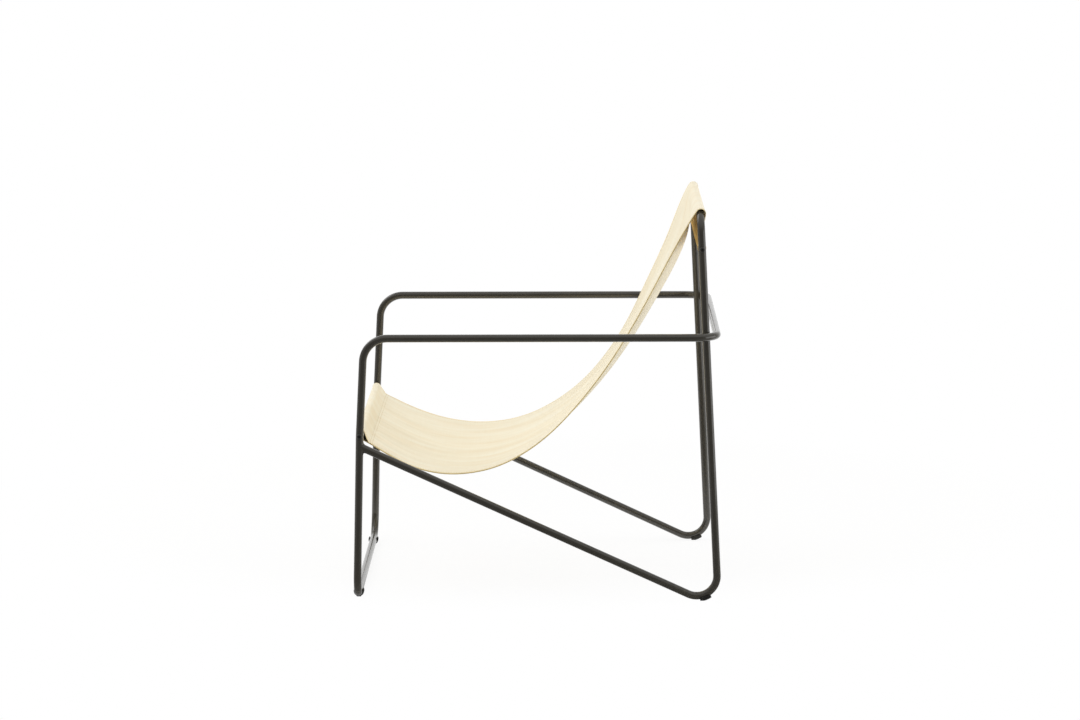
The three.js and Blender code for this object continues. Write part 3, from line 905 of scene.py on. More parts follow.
@dataclass
class SlingBars:
    """The two straight bars that carry the sling's ends, and the bolts that hold them."""

    sizes: ChairSizes
    end_gap: float = 0.3
    end_round: float = 0.6
    rim_turn: float = math.radians(60)
    bolt_radius: float = 3.0
    bolt_tip: float = 0.5
    grip: float = 18.0
    head_radius: float = 5.25
    head_height: float = 3.0
    rim: float = 0.8
    dome_degrees: int = 20
    socket: float = 2.6
    socket_depth: float = 2.5
    # The flat ring between dome and socket, and how far the socket's mouth is broken.
    socket_lip: float = 0.5
    socket_mouth: float = 0.15
    steps: int = 36
    same_place: float = 0.001

    def build(self, dress: Dress) -> None:
        """Builds the bars and the bolts.

        Args:
            dress: The chair's finishes.
        """
        size = self.sizes
        for end, bar, hold in (("front", size.front_bar, size.arm_x),
                               ("rear", size.rear_bar, size.upright_x(size.rear_bar.z))):
            half = Vector((hold - size.tube_radius - self.end_gap, 0, 0))
            bm, _ = BentTube([bar - half, bar + half], [], size.tube_radius).mesh()
            close_ends(bm)
            round_edges(bm, self.rim_turn, self.end_round, segments=3)
            finish_piece(bm, f"{end}_rail", dress.coat, f"{end}_bar")
            seat = bar + Vector((hold + size.tube_radius + self.end_gap, 0, 0))
            for side in Side:
                finish_piece(self.bolt(seat), f"{end}_screw", dress.bolt, f"{end}_bolt", side)

    def bolt(self, seat: Vector) -> BMesh:
        """Models a button head bolt that points inwards from the left.

        Args:
            seat: The middle of the underside of its head.

        Returns:
            The bolt's mesh.
        """
        lip = self.socket + self.socket_lip
        outline = [(0.0, -self.grip), (self.bolt_radius - self.bolt_tip, -self.grip),
                   (self.bolt_radius, self.bolt_tip - self.grip), (self.bolt_radius, 0.0),
                   (self.head_radius, 0.0)]
        for turn in (math.radians(degrees) for degrees in range(0, 90, self.dome_degrees)):
            outline.append((lip + (self.head_radius - lip) * math.cos(turn),
                            self.rim + (self.head_height - self.rim) * math.sin(turn)))
        outline.append((lip, self.head_height))
        bm = bmesh.new()
        verts = [bm.verts.new((along, 0, out)) for out, along in outline]
        for vert, after in zip(verts, verts[1:]):
            bm.edges.new((vert, after))
        bmesh.ops.spin(bm, geom=[*bm.verts, *bm.edges], cent=(0, 0, 0), axis=(1, 0, 0), angle=math.tau,
                       steps=self.steps, use_merge=True)
        bmesh.ops.remove_doubles(bm, verts=bm.verts, dist=self.same_place)
        ring = [edge for edge in bm.edges if edge.is_boundary]
        for depth in (self.socket_mouth, self.socket_depth):
            hexagon = ring_of(bm, [self.hex_place(at, self.head_height - depth) for at in range(self.steps)])
            bmesh.ops.bridge_loops(bm, edges=ring + hexagon)
            ring = hexagon
        close_ends(bm)
        bmesh.ops.translate(bm, vec=seat, verts=bm.verts)
        return bm

    def hex_place(self, at: int, along: float) -> Vector:
        """A point on the wall of the hex socket.

        Args:
            at: Which of the points round the socket it is.
            along: Its height over the head's underside.

        Returns:
            The point, with the bolt's axis along X.
        """
        angle = math.tau * at / self.steps
        sixth = math.pi / 3
        out = self.socket * math.cos(sixth / 2) / math.cos(angle % sixth - sixth / 2)
        return Vector((along, -math.sin(angle) * out, math.cos(angle) * out))


@dataclass
class Glides:
    """The plastic clips under the floor bar and the plastic shoes under the rear floor bends."""

    sizes: ChairSizes
    clearance: float = 0.3
    clip_wall: float = 2.4
    clip_length: float = 14.0
    clip_inset: float = 57.5
    clip_foot: float = 9.0
    clip_lip: float = math.radians(25)
    clip_steps: int = 40
    shoe_start: float = math.radians(8)
    shoe_end: float = math.radians(34.5)
    shoe_wall: float = 1.4
    shoe_sole: float = 3.4
    shoe_lip_drop: float = 2.5
    # The points of the sole's rounded corner: how far in from the side and up from the sole each lies.
    shoe_corner: tuple[tuple[float, float], ...] = ((0.0, 3.0), (2.0, 0.6), (4.0, 0.0))
    shoe_steps: int = 14
    saddle_steps: int = 16
    sharp: float = math.radians(35)
    edge_round: float = 0.35

    def build(self, dress: Dress) -> None:
        """Builds the four glides.

        Args:
            dress: The chair's finishes.
        """
        for side in Side:
            for name, node, bm in (("front_clip", "front_glide", self.clip()),
                                   ("rear_shoe", "rear_glide", self.shoe())):
                bmesh.ops.recalc_face_normals(bm, faces=bm.faces)
                round_edges(bm, self.sharp, self.edge_round, segments=2)
                finish_piece(bm, name, dress.glide, node, side)

    def clip(self) -> BMesh:
        """Models the left clip: a ring open at the top, with a flat foot.

        Returns:
            The clip's mesh, with its edges sharp.
        """
        size = self.sizes
        bar = size.floor_bar
        start = size.arm_x - self.clip_inset - self.clip_length / 2
        inner = size.tube_radius + self.clearance
        lip = Vector((0, -math.cos(self.clip_lip), math.sin(self.clip_lip)))
        middle = Vector((start, bar.y, bar.z))
        bm = bmesh.new()
        wall = [bm.verts.new(middle + lip * out) for out in (inner, inner + self.clip_wall)]
        bm.edges.new(wall)
        bmesh.ops.spin(bm, geom=[*bm.verts, *bm.edges], cent=middle, axis=(1, 0, 0),
                       angle=math.pi + 2 * self.clip_lip, steps=self.clip_steps)
        for vert in bm.verts:
            away = vert.co - middle
            outside = away.length > inner + self.clip_wall / 2
            if outside and away.z < 0 and abs(away.y) < self.clip_foot / 2:
                vert.co.z = 0.0
        drawn = bmesh.ops.extrude_face_region(bm, geom=list(bm.faces))["geom"]
        bmesh.ops.translate(bm, vec=(self.clip_length, 0, 0), verts=only(BMVert, drawn))
        return bm

    def shoe(self) -> BMesh:
        """Models the left shoe: a saddle under the floor bend, cut flat where it stands.

        Returns:
            The shoe's mesh, with its edges sharp.
        """
        size = self.sizes
        centre = size.bend_centre
        inner = size.tube_radius + self.clearance
        side, sole = inner + self.shoe_wall, inner + self.shoe_sole
        lip = math.asin(self.shoe_lip_drop / inner)
        turns = [lip + (math.pi - 2 * lip) * at / self.saddle_steps for at in range(self.saddle_steps + 1)]
        outline = [(inner * math.cos(turn), inner * math.sin(turn)) for turn in turns]
        wall = [(-side, self.shoe_lip_drop)]
        wall += [(inwards - side, sole - up) for inwards, up in self.shoe_corner]
        outline += wall + [(-aside, drop) for aside, drop in reversed(wall)]
        out = Vector((0, math.sin(self.shoe_start), -math.cos(self.shoe_start)))
        bm = bmesh.new()
        bm.faces.new([bm.verts.new(centre + out * (size.rear_bend + drop) + Vector((aside, 0, 0)))
                      for aside, drop in outline])
        bmesh.ops.spin(bm, geom=[*bm.verts, *bm.edges, *bm.faces], cent=centre, axis=(1, 0, 0),
                       angle=self.shoe_end - self.shoe_start, steps=self.shoe_steps)
        for vert in bm.verts:
            vert.co.z = max(0.0, vert.co.z)
        return bm


@dataclass(frozen=True)
class Folds:
    """Folds of one size in the cloth, as seeded noise."""

    depth: float
    width: float
    length: float
    seed: float

    def at(self, x: float, past: float) -> float:
        """Their depth at a place, by its distance from the middle and past the front seam."""
        return self.depth * noise.noise(Vector((x / self.width, past / self.length, self.seed)))


@dataclass(frozen=True)
class Gathers:
    """The fine gathers on one side of a seam, which rise from it and fade away along the cloth."""

    rise: float
    fade: float
    slant: float
    wander: float
    pitch: float = 4.2
    depth: float = 0.7

    def at(self, x: float, away: float, drift: float) -> float:
        """Finds their depth at a place.

        Args:
            x: How far from the middle the place is.
            away: How far from the seam it is.
            drift: How far folds wander sideways there.

        Returns:
            The distance along the under face's direction.
        """
        strength = self.depth * min(1.0, away / self.rise) * math.exp(-away / self.fade)
        return strength * math.sin(x / self.pitch + away / self.slant + drift / self.wander)


@dataclass(frozen=True)
class Station:
    """One crosswise row of the sling: its middle point, the way on, and where on the cloth it lies."""

    place: Vector
    along: Vector
    run: float
    share: float
    past_seam: float
    grip: float
    sway: float
    part: SlingPart

    @property
    def under(self) -> Vector:
        """The way out of the cloth's under face."""
        return Vector((0, self.along.z, -self.along.y))

    @property
    def tuck(self) -> Tuck:
        """Tells which faces of the row lie hidden or in shade behind the flap, where a warm gold shade is
        painted.

        Returns:
            Both where the rear pocket turns up behind the flap, and the under face where the flap hangs.
        """
        if self.part in (SlingPart.REAR_POCKET, SlingPart.REAR_LAP) and self.along.z > 0:
            return Tuck.BOTH_FACES
        return Tuck.UNDER_FACE if self.part in (SlingPart.FLAP, SlingPart.REAR_POCKET) else Tuck.NEITHER


@dataclass
class Sling:
    """The canvas sling: one cut of cloth with hemmed sides and a sewn pocket at each end."""

    sizes: ChairSizes
    thickness: float = 0.55
    # The radius of the fold at the edge: a fat roll where the cloth hangs free, pressed flat at the bars.
    roll: float = 0.95
    pressed: float = 0.29
    hem: float = 11.0
    wrap: float = 8.1
    front_margin: float = 22.5
    back_margin: float = 18.0
    allowance: float = 11.0
    pocket_depth: float = 23.0
    pocket_angle: float = math.radians(-48)
    seat_angle: float = math.radians(-30.24)
    back_angle: float = math.radians(52.16)
    seat_pull: float = 484.5
    back_pull: float = 116.4
    # At even shares of the way from the front seam to the top: how far each edge hangs below the middle line.
    left_hang: tuple[float, ...] = (0.0, 8.7, 2.2, -8.1, -14.5, -14.1, -11.2, -6.7, 0.0)
    right_hang: tuple[float, ...] = (-4.0, -3.6, 0.4, 10.8, 18.4, 17.8, 11.2, 7.9, 0.0)
    # The slack middle hangs below both edges, most in the upper back, and is drawn straight at the top bar.
    bulge: float = 36.5
    bulge_growth: float = 1.5
    bulge_end: float = 24.0
    # How far the stiff cloth stands off the top bar where it turns down into the flap.
    slack: float = 2.4
    # The front seam draws folds into the seat. They wander sideways, rise from the seam and fade to the top.
    drift: Folds = Folds(depth=14.0, width=90.0, length=260.0, seed=3.7)
    long_folds: Folds = Folds(depth=3.6, width=56.0, length=210.0, seed=7.3)
    fine_folds: Folds = Folds(depth=1.8, width=27.0, length=150.0, seed=1.9)
    fold_rise: float = 25.0
    fold_fade: float = 260.0
    fold_end: int = 4
    seat_gathers: Gathers = Gathers(rise=5.0, fade=18.0, slant=9.0, wander=5.0)
    pocket_gathers: Gathers = Gathers(rise=6.0, fade=22.0, slant=-5.0, wander=4.0)
    # How closely the cloth is divided, with finer rows round the bars and just past the front seam.
    curve_steps: int = 800
    row_step: float = 4.6
    fine_step: float = 2.2
    fine_rows: int = 20
    column_step: float = 5.2
    fold_columns: int = 4
    hem_columns: int = 3
    # How tan the cloth is, column by column, from just before the fold to the inner edge of the hem.
    edge_shades: tuple[float, ...] = (0.1, 0.9, 1.0, 1.0, 1.0, 0.9, 0.3, 0.1, 0.1)
    stitch_length: float = 3.6
    stitch_width: float = 0.42
    stitch_height: float = 0.3
    stitch_proud: float = 0.4
    stitch_pitch: float = 5.0
    # How far past the front seam the hem stitching starts, and at what share of the hem's width it lies.
    hem_start: float = 4.0
    hem_line: float = 0.75
    # What share of the hem's width the crosswise lines leave free, and how far from its seam each lies.
    seam_inset: float = 0.3
    seam_lines: tuple[float, float] = (3.0, 8.0)

    def half_width(self, share: float) -> float:
        """Finds half the sling's finished width.

        Args:
            share: The share of the way from the front seam to the top.

        Returns:
            How far from the middle the edge lies.
        """
        front = self.sizes.arm_x - self.front_margin
        back = self.sizes.upright_x(self.sizes.top_z) - self.back_margin
        return front + (back - front) * share

    def hang(self, share: float, across: float) -> float:
        """How far the cloth hangs under its middle line.

        Args:
            share: The share of the way from the front seam to the top.
            across: The share of the way from the middle to the left edge.

        Returns:
            The distance along the under face's direction.
        """
        left, right = between_knots(self.left_hang, share), between_knots(self.right_hang, share)
        bulge = self.bulge * share ** self.bulge_growth * (1 - share ** self.bulge_end) ** 2
        return (left + right) / 2 + across * (left - right) / 2 + bulge * (1 - across ** 2)

    def fold_radius(self, row: Station) -> float:
        """The radius of the fold at the edge of a row."""
        return self.roll + (self.pressed - self.roll) * row.grip

    def waves(self, row: Station, x: float) -> float:
        """The small folds that the front seam draws into the cloth.

        Args:
            row: The row of cloth.
            x: How far from the middle the place is.

        Returns:
            The distance along the under face's direction.
        """
        past = row.past_seam
        drift = self.drift.at(x, past)
        if past < 0:
            return self.pocket_gathers.at(x, -past, drift)
        fade = min(1.0, past / self.fold_rise) * math.exp(-past / self.fold_fade)
        fade *= 1 - row.share ** self.fold_end
        folds = self.long_folds.at(x + drift, past) + self.fine_folds.at(x - drift, past)
        return fade * folds + self.seat_gathers.at(x, past, drift)

    def outline(self) -> list[tuple[Vector, SlingPart, float]]:
        """Lays out the sling's middle line in the side view.

        Returns:
            Points from one end of the cloth to the other, each with its part and its share of the panel.
        """
        front, top, rear = self.sizes.front_bar, self.sizes.top_bar, self.sizes.rear_bar
        layers = 2 * self.pressed

        def polar(centre: Vector, angle: float, out: float) -> Vector:
            """A point round a bar, by angle from straight back and distance."""
            return centre + Vector((0, math.cos(angle), math.sin(angle))) * out

        def arc(centre: Vector, start: float, end: float) -> list[Vector]:
            """Points on the cloth where it lies round a bar."""
            count = math.ceil(abs(end - start) * self.wrap / self.fine_step)
            return [polar(centre, start + (end - start) * at / count, self.wrap) for at in range(count + 1)]

        def straight(start: Vector, end: Vector) -> list[Vector]:
            """Points between two places, without the places."""
            count = math.ceil((end - start).length / self.row_step)
            return [start.lerp(end, at / count) for at in range(1, count)]

        seam = polar(front, self.pocket_angle, self.pocket_depth)
        seat = Vector((0, math.cos(self.seat_angle), math.sin(self.seat_angle)))
        below = Vector((0, seat.z, -seat.y)) * layers
        opening = math.acos(self.wrap / self.pocket_depth)
        wrap_in = arc(front, self.pocket_angle - opening, self.pocket_angle + opening - math.tau)
        lap = [seam + seat * self.allowance + below, seam + seat * self.allowance / 2 + below, seam + below]
        line = [(place, SlingPart.FRONT_LAP, 0.0) for place in lap]
        pocket = straight(lap[-1], wrap_in[0]) + wrap_in + straight(wrap_in[-1], seam)
        line += [(place, SlingPart.FRONT_POCKET, 0.0) for place in pocket]

        over = polar(top, self.back_angle + math.pi / 2, self.wrap)
        back = Vector((0, math.cos(self.back_angle), math.sin(self.back_angle)))
        line += [(place, SlingPart.PANEL, share) for place, share in
                 self.panel_line(seam, seam + seat * self.seat_pull, over - back * self.back_pull, over)]

        # The pull of the flap draws the rear pocket's seam to a place right above its bar.
        down = (rear - top).normalized()
        meet = rear - down * self.pocket_depth
        inner = meet - Vector((0, layers, 0))
        to_meet = meet - top
        leave = math.atan2(to_meet.z, to_meet.y) + math.acos(self.wrap / to_meet.length)
        wrap_top = arc(top, self.back_angle + math.pi / 2, leave)
        hung = wrap_top[1:] + straight(wrap_top[-1], meet) + [meet]
        for at, place in enumerate(hung):
            part = SlingPart.TOP if at < len(wrap_top) - 1 else SlingPart.FLAP
            out = (place if part is SlingPart.TOP else wrap_top[-1]) - top
            lift = self.slack * math.sin(math.pi * (at + 1) / len(hung)) ** 2
            line.append((place + out.normalized() * lift, part, 1.0))
        upward = math.atan2(-down.z, -down.y)
        wrap_rear = arc(rear, upward - opening, upward + opening - math.tau)
        pocket = straight(meet, wrap_rear[0]) + wrap_rear + straight(wrap_rear[-1], inner)
        line += [(place, SlingPart.REAR_POCKET, 1.0) for place in pocket]
        way = (wrap_top[-1] - meet).normalized()
        line += [(inner + way * self.allowance * at / 2, SlingPart.REAR_LAP, 1.0) for at in range(3)]
        return line

    def panel_line(self, *pulls: Vector) -> list[tuple[Vector, float]]:
        """Spaces rows along the hanging curve of the panel, closer together near the front seam.

        Args:
            pulls: The four points that shape the curve.

        Returns:
            The rows' middle points, each with its share of the way along the curve.
        """
        fine = []
        for at in range(self.curve_steps + 1):
            t = at / self.curve_steps
            weights = ((1 - t) ** 3, 3 * t * (1 - t) ** 2, 3 * t ** 2 * (1 - t), t ** 3)
            fine.append(sum((pull * weight for pull, weight in zip(pulls, weights)), Vector((0, 0, 0))))
        length = sum((after - here).length for here, after in zip(fine, fine[1:]))
        rows = [(fine[0], 0.0)]
        run = gone = 0.0
        for here, after in zip(fine, fine[1:]):
            gone += (after - here).length
            step = self.fine_step if run < self.fine_rows * self.fine_step else self.row_step
            if gone - run >= step and length - gone > step / 2:
                rows.append((after, gone / length))
                run = gone
        rows.append((fine[-1], 1.0))
        return rows

    def stations(self) -> list[Station]:
        """Measures the sling's middle line.

        Returns:
            The rows of the cloth in order.
        """
        line = self.outline()
        runs = [0.0]
        for (before, _, _), (here, _, _) in zip(line, line[1:]):
            runs.append(runs[-1] + (here - before).length)
        parts = [part for _, part, _ in line]
        seam = runs[parts.index(SlingPart.PANEL)]
        top = runs[parts.index(SlingPart.TOP)]
        rows = []
        for at, (place, part, share) in enumerate(line):
            before, after = line[max(0, at - 1)][0], line[min(len(line) - 1, at + 1)][0]
            run = runs[at]
            inside = min(run - seam, top - run)
            grip = min(1.0, max(0.0, 1 - inside / self.pocket_depth))
            along = (after - before).normalized()
            sway = self.sway(place, along, part)
            rows.append(Station(place, along, run, share, run - seam, grip, sway, part))
        return rows

    def sway(self, place: Vector, along: Vector, part: SlingPart) -> float:
        """Tells how far a row follows the hang of the edges, which the front pocket takes up towards its bar.

        Args:
            place: The row's middle point.
            along: The row's way on.
            part: The stretch of the sling that it is in.

        Returns:
            One on the panel, nought at the front bar, and a minus value where the cloth lies face down.
        """
        if part is SlingPart.PANEL:
            return 1.0
        if part not in (SlingPart.FRONT_LAP, SlingPart.FRONT_POCKET):
            return 0.0
        out = place - self.sizes.front_bar
        share = (out.length - self.wrap) / (self.pocket_depth - self.wrap)
        return math.copysign(min(1.0, max(0.0, share)), along.dot(out))

    def spot(self, row: Station, x: float, under: float) -> Vector:
        """Finds a place on or under the hung cloth.

        Args:
            row: The row of cloth.
            x: How far to the left of the middle the place is.
            under: How far under the cloth's middle layer it lies.

        Returns:
            The place.
        """
        half = self.half_width(row.share)
        deep = under + self.waves(row, x) + row.sway * self.hang(row.share, x / half)
        # Round the bars the hem lies inside, and holds the edge of the cloth off the bar.
        at_hem = min(1.0, max(0.0, (abs(x) - half + 2 * self.hem) / self.hem))
        place = row.place + row.under * (deep - row.grip * at_hem * 2 * self.pressed)
        return Vector((x, place.y, place.z))

    def columns(self) -> list[tuple[float, float, float]]:
        """Spaces the columns of cloth on the left half, from the middle out to the inner edge of the hem.

        Returns:
            For each column, its share of the width, its turn round the fold, which counts on past a half
            turn with the share of the hem's width, and how tan it is.
        """
        count = math.ceil(self.half_width(0.0) / self.column_step)
        laid = [(at / count, 0.0) for at in range(count + 1)]
        laid += [(1.0, math.pi * at / self.fold_columns) for at in range(1, self.fold_columns + 1)]
        laid += [(1.0, math.pi + at / self.hem_columns) for at in range(1, self.hem_columns + 1)]
        plain = [0.0] * (len(laid) - len(self.edge_shades))
        return [(share, turned, shade) for (share, turned), shade in zip(laid, [*plain, *self.edge_shades])]

    def cloth(self, rows: list[Station]) -> BMesh:
        """Hangs the flat cut of cloth on the frame.

        Args:
            rows: The rows of the cloth.

        Returns:
            The sling's middle layer, with the flat cut as its texture layout.
        """
        columns = self.columns()
        wide = 2 * (len(columns) - 1)
        bm = bmesh.new()
        bmesh.ops.create_grid(bm, x_segments=wide, y_segments=len(rows) - 1, size=1.0)
        fold = bm.verts.layers.float.new("fold")
        tuck = bm.verts.layers.float.new("tuck")
        cut = bm.loops.layers.uv.new("flat_cut")
        flat_places = {}
        for vert in bm.verts:
            column = round((vert.co.x + 1) / 2 * wide) - wide // 2
            row = rows[round((vert.co.y + 1) / 2 * (len(rows) - 1))]
            share, turned, shade = columns[abs(column)]
            sign = 1 if column >= 0 else -1
            radius = self.fold_radius(row)
            brim = self.half_width(row.share) - radius
            turn, beyond = min(turned, math.pi), max(0.0, turned - math.pi)
            under = radius * (1 - math.cos(turn)) + 2 * (self.pressed - radius) * beyond
            hung_x = sign * (share * brim + radius * math.sin(turn) - self.hem * beyond)
            flat_x = sign * (share * brim + radius * turn + self.hem * beyond)
            vert[fold] = shade
            # Marks where the canvas paints its warm gold shade inside the flap.
            vert[tuck] = row.tuck.value
            vert.co = self.spot(row, hung_x, under)
            flat_places[vert] = (flat_x * MM, row.run * MM)
        for face in bm.faces:
            for loop in face.loops:
                loop[cut].uv = flat_places[loop.vert]
        return bm

    def build(self, dress: Dress) -> None:
        """Args:
            dress: The chair's finishes.
        """
        rows = self.stations()
        panel = finish_piece(self.cloth(rows), "sling_panel", dress.canvas, "sling")
        thick = panel.modifiers.new("canvas", "SOLIDIFY")
        thick.thickness = self.thickness * MM
        thick.offset = 0.0
        # The under face takes the copy of the canvas that paints the gold shade where the flap hangs.
        panel.data.materials.append(dress.canvas_under)
        thick.material_offset = 1
        sewn = [finish_piece(bm, name, dress.thread) for name, bm in self.seams(rows)]
        # What the fold and the hem add to each half of the cut.
        extra = (math.pi - 1) * self.pressed + self.hem
        area = sum((self.half_width(row.share) + extra) * 2 * (after.run - row.run)
                   for row, after in zip(rows, rows[1:]))
        flat = (2 * (self.half_width(0.0) + extra) * MM, rows[-1].run * MM)
        LOG.info("sling cut flat to %.3f x %.3f m, %.3f square metres", *flat, area * MM * MM)

    def row_at(self, rows: list[Station], run: float) -> Station:
        """Finds the row at a distance along the cloth, between two of its stations.

        Args:
            rows: The rows of the cloth.
            run: The distance from the cloth's front end, more than nought.

        Returns:
            The row there.
        """
        at = next(number for number, row in enumerate(rows) if row.run >= run)
        low, high = rows[at - 1], rows[at]
        share = (run - low.run) / (high.run - low.run)
        part_share, past_seam, grip, sway = (
            getattr(low, name) * (1 - share) + getattr(high, name) * share
            for name in ("share", "past_seam", "grip", "sway"))
        return Station(low.place.lerp(high.place, share), low.along.lerp(high.along, share).normalized(), run,
                       part_share, past_seam, grip, sway, high.part)

    def seams(self, rows: list[Station]) -> list[tuple[str, BMesh]]:
        """Sews the hems and both pockets.

        Args:
            rows: The rows of the cloth.

        Returns:
            The name and the mesh of each line of stitching.
        """
        front, rear = (next(row.run for row in rows if row.part is part)
                       for part in (SlingPart.PANEL, SlingPart.REAR_POCKET))
        start = front + self.hem_start
        skin = self.thickness / 2 + self.stitch_height * self.stitch_proud
        hem_deep = 2 * self.pressed + skin
        made = []
        for side in Side:
            bm = bmesh.new()
            for at in range(int((rear - start) / self.stitch_pitch)):
                row = self.row_at(rows, start + at * self.stitch_pitch)
                x = side.value * (self.half_width(row.share) - self.hem * self.hem_line)
                for under in (-skin, hem_deep):
                    self.sew(bm, row, x, under, row.along)
            made.append((f"hem_stitches_{side.word}", bm))
        for name, seam, way_in in (("front_seam_stitches", front, 1), ("rear_seam_stitches", rear, -1)):
            bm = bmesh.new()
            for line in self.seam_lines:
                row = self.row_at(rows, seam + way_in * line)
                reach = self.half_width(row.share) - self.hem * self.seam_inset
                for at in range(int(2 * reach / self.stitch_pitch)):
                    x = at * self.stitch_pitch - reach + self.stitch_pitch / 2
                    self.sew(bm, row, x, -skin, Vector((1, 0, 0)))
            made.append((name, bm))
        return made

    def sew(self, bm: BMesh, row: Station, x: float, under: float, way: Vector) -> None:
        """Lays one stitch on the cloth.

        Args:
            bm: The mesh of the stitching.
            row: The row of cloth.
            x: How far to the left of the middle the stitch lies.
            under: How far under the cloth's middle layer it lies.
            way: The stitch's direction.
        """
        face = row.under
        turn = Matrix((way, face.cross(way), face)).transposed().to_4x4()
        size = Matrix.Diagonal((self.stitch_length / 2, self.stitch_width, self.stitch_height, 1.0))
        place = Matrix.Translation(self.spot(row, x, under))
        bmesh.ops.create_icosphere(bm, subdivisions=1, radius=1.0, matrix=place @ turn @ size)


@dataclass(frozen=True)
class Fade:
    """A smooth change in brightness along one axis, between two places on it."""

    axis: str
    start: float
    end: float
    first: float
    last: float

    @property
    def settings(self) -> dict[str, object]:
        """The settings of a Map Range node that makes the fade."""
        return {"interpolation_type": "SMOOTHSTEP", "From Min": self.start, "From Max": self.end,
                "To Min": self.first, "To Max": self.last}


def showing_ray(tree: NodeTree) -> NodeSocket:
    """Tells rays that show the background from rays that light the chair.

    Args:
        tree: The node tree that asks.

    Returns:
        An output that is one for a camera, glossy or transmission ray and nought for the rest.
    """
    rays = add_node(tree, "LightPath").outputs
    either = add_node(tree, "Math", {"operation": "MAXIMUM"},
                      {0: rays["Is Camera Ray"], 1: rays["Is Glossy Ray"]}).outputs[0]
    return add_node(tree, "Math", {"operation": "MAXIMUM"},
                    {0: either, 1: rays["Is Transmission Ray"]}).outputs[0]


@dataclass(frozen=True)
class StudioFloor(Finish):
    """Matt white floor paint: it keeps a soft shadow, and runs into the white room without an edge."""

    title: str = "matt white studio floor"
    colour: str = "#f6f5f3"
    middle: tuple[float, float] = (-0.64, 0.0)
    reach: tuple[float, float] = (1.06, 1.3)
    # In the glossy tubes it darkens towards the camera, as the room does.
    mirrored: Fade = Fade("X", start=0.5, end=0.95, first=1.0, last=DARK_END)
    # How much of it shows as pure white: all of it at the rim, and less from a share of the way in.
    rim: float = 0.35
    glow: float = 0.9

    def surface(self, tree: NodeTree) -> NodeSocket:
        """Lays out the floor's nodes.

        Args:
            tree: The material's node tree.

        Returns:
            The output of the finished shader.
        """
        paint = add_node(tree, "BsdfDiffuse", {"Color": linear_colour(self.colour)}).outputs[0]
        place = add_node(tree, "TexCoord").outputs["Object"]
        spot = add_node(tree, "Mapping", {"vector_type": "TEXTURE", "Location": (*self.middle, 0.0),
                                          "Scale": (*self.reach, 1.0)}, {"Vector": place}).outputs[0]
        along = add_node(tree, "SeparateXYZ", {}, {0: spot}).outputs[self.mirrored.axis]
        mirrored = add_node(tree, "MapRange", self.mirrored.settings, {"Value": along}).outputs[0]
        camera = add_node(tree, "LightPath").outputs["Is Camera Ray"]
        strength = add_node(tree, "Math", {"operation": "MAXIMUM"}, {0: mirrored, 1: camera}).outputs[0]
        white = add_node(tree, "Emission", {}, {"Strength": strength}).outputs[0]
        inside = add_node(tree, "TexGradient", {"gradient_type": "SPHERICAL"},
                          {"Vector": spot}).outputs["Fac"]
        white_share = add_node(tree, "MapRange", {"interpolation_type": "SMOOTHSTEP", "From Max": self.rim,
                                                  "To Min": 1.0, "To Max": self.glow},
                               {"Value": inside}).outputs[0]
        share = add_node(tree, "Math", {"operation": "MULTIPLY"},
                         {0: showing_ray(tree), 1: white_share}).outputs[0]
        return add_node(tree, "MixShader", {}, {0: share, 1: paint, 2: white}).outputs[0]

    def lay(self) -> None:
        """Lays the floor under the chair."""
        bm = bmesh.new()
        place = Matrix.Translation((*self.middle, 0.0)) @ Matrix.Diagonal((*self.reach, 1.0, 1.0))
        bmesh.ops.create_grid(bm, x_segments=1, y_segments=1, size=1.0, matrix=place)
        mesh_object(bm, "studio_floor", self.material())


@dataclass(frozen=True)
class Softbox:
    """A soft rectangular light: where it hangs, what it shines at, its width and height, and its watts."""

    name: str
    place: tuple[float, float, float]
    aim: tuple[float, float, float]
    size: tuple[float, float]
    power: float

    def hang(self) -> None:
        """Hangs the light in the studio."""
        data = bpy.data.lights.new(self.name, "AREA")
        data.shape = "RECTANGLE"
        data.size, data.size_y = self.size
        data.energy = self.power
        light = bpy.data.objects.new(self.name, data)
        light.location = self.place
        light.rotation_euler = (Vector(self.aim) - Vector(self.place)).to_track_quat("-Z", "Y").to_euler()
        bpy.context.scene.collection.objects.link(light)


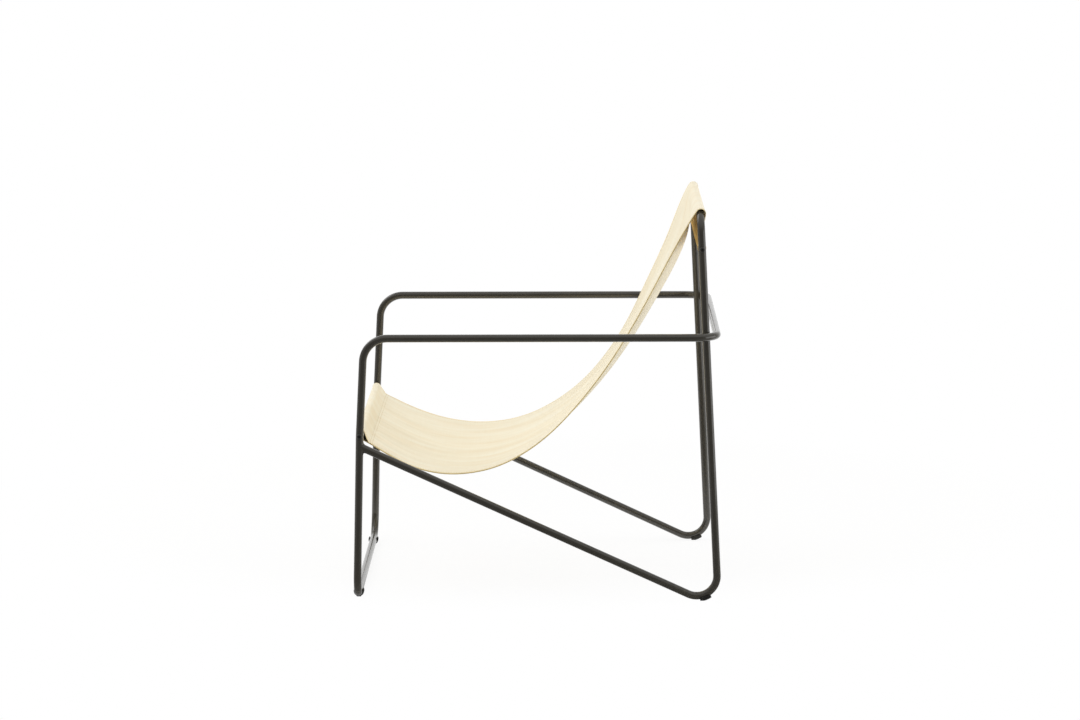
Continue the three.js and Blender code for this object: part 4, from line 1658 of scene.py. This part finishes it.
@dataclass
class Studio:
    """A white room with soft light, and a camera that stands where the photo's did."""

    # The camera as fitted to the photo. Its angles are in radians, its lens is in millimetres, and its shift
    # is in shares of the picture's width.
    place: tuple[float, float, float] = (7.2460, 0.0963, 1.5738)
    yaw: float = 0.00802
    pitch: float = 0.15478
    roll: float = -0.00337
    lens: float = 119.92
    shift: tuple[float, float] = (-0.01507, -0.00384)
    # The room's light by direction. The chair is lit from all round, and least from the camera's end.
    lit: Fade = Fade("X", start=0.2, end=0.95, first=1.1, last=0.0)
    # In the glossy tubes only the backdrop is white, the sides are dim and a soft light shows above.
    backdrop: Fade = Fade("X", start=-0.95, end=-0.35, first=1.0, last=0.48)
    camera_end: Fade = Fade("X", start=0.4, end=0.9, first=1.0, last=0.0)
    overhead: Fade = Fade("Z", start=0.2, end=0.75, first=0.0, last=0.75)
    softboxes: tuple[Softbox, ...] = (
        Softbox("front_softbox", place=(-1.0, -2.0, 2.4), aim=(0.0, 0.1, 0.5), size=(1.6, 1.6), power=13.0),
        Softbox("rear_softbox", place=(0.5, 2.0, 0.5), aim=(0.0, 0.2, 0.5), size=(1.6, 1.0), power=6.3))

    def build(self) -> None:
        """Sets up the camera, the floor, the world and the lights."""
        self.camera()
        StudioFloor().lay()
        self.world()
        for softbox in self.softboxes:
            softbox.hang()
        bpy.context.scene.view_settings.view_transform = "Standard"

    def camera(self) -> None:
        """Stands the camera where the photo was taken."""
        cos, sin = math.cos, math.sin
        back = Vector((cos(self.pitch) * cos(self.yaw), cos(self.pitch) * sin(self.yaw), sin(self.pitch)))
        right = Vector((-sin(self.yaw), cos(self.yaw), 0))
        up = back.cross(right)
        level, tilt = cos(self.roll), sin(self.roll)
        turn = Matrix((right * level + up * tilt, up * level - right * tilt, back)).transposed().to_4x4()
        data = bpy.data.cameras.new("photo_camera")
        data.lens = self.lens
        data.shift_x, data.shift_y = self.shift
        camera = bpy.data.objects.new("photo_camera", data)
        camera.matrix_world = Matrix.Translation(self.place) @ turn
        bpy.context.scene.collection.objects.link(camera)
        bpy.context.scene.camera = camera

    def world(self) -> None:
        """Fills the room with soft light, and shows the camera a white background."""
        world = bpy.data.worlds.new("white_room")
        world.use_nodes = True
        tree = world.node_tree
        tree.nodes.clear()
        way = add_node(tree, "TexCoord").outputs["Generated"]
        axes = add_node(tree, "SeparateXYZ", {}, {0: way}).outputs
        lit, backdrop, camera_end, overhead = (
            add_node(tree, "MapRange", fade.settings, {"Value": axes[fade.axis]}).outputs[0]
            for fade in (self.lit, self.backdrop, self.camera_end, self.overhead))
        around = add_node(tree, "Math", {"operation": "MULTIPLY"}, {0: backdrop, 1: camera_end}).outputs[0]
        mirrored = add_node(tree, "Math", {"operation": "MAXIMUM"}, {0: around, 1: overhead}).outputs[0]
        room = add_node(tree, "Mix", {}, {FACTOR: showing_ray(tree), VALUE_A: lit,
                                          VALUE_B: mirrored}).outputs[MIXED_VALUE]
        camera = add_node(tree, "LightPath").outputs["Is Camera Ray"]
        lowest = add_node(tree, "Math", {"operation": "MAXIMUM", 1: DARK_END}, {0: camera}).outputs[0]
        strength = add_node(tree, "Math", {"operation": "MAXIMUM"}, {0: room, 1: lowest}).outputs[0]
        shader = add_node(tree, "Background", {"Color": linear_colour("#ffffff")},
                          {"Strength": strength}).outputs[0]
        add_node(tree, "OutputWorld", links={"Surface": shader})
        bpy.context.scene.world = world


def dress_hidden_steel(zinc: Material) -> None:
    """Gives the sleeves and plugs inside the tubes, which stay as the CAD made them, their zinc plate.

    Args:
        zinc: The plate's material.
    """
    for name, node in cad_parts.items():
        if name.endswith("_spigot") or "_insert_" in name:
            node.data.materials.clear()
            node.data.materials.append(zinc)
            LOG.info("%s: kept from the CAD, zinc plated", name)


def main() -> None:
    """Builds the chair and its studio."""
    logging.basicConfig(level=logging.INFO, format="%(name)s: %(message)s")
    # A second copy of the canvas paints the gold shade on the under face where the flap hangs.
    under_face = CottonCanvas("cream cotton canvas, under face", under=True)
    dress = Dress(coat=PowderCoat().material(), bolt=BlackOxide().material(), zinc=ZincPlate().material(),
                  glide=MouldedNylon().material(), canvas=CottonCanvas().material(),
                  canvas_under=under_face.material(), thread=SewingThread().material())
    sizes = ChairSizes()
    for assembly in (ArmLoop(sizes), RearLoop(sizes), SlingBars(sizes), Glides(sizes), Sling(sizes)):
        assembly.build(dress)
    dress_hidden_steel(dress.zinc)
    Studio().build()


if __name__ == "__main__":
    main()
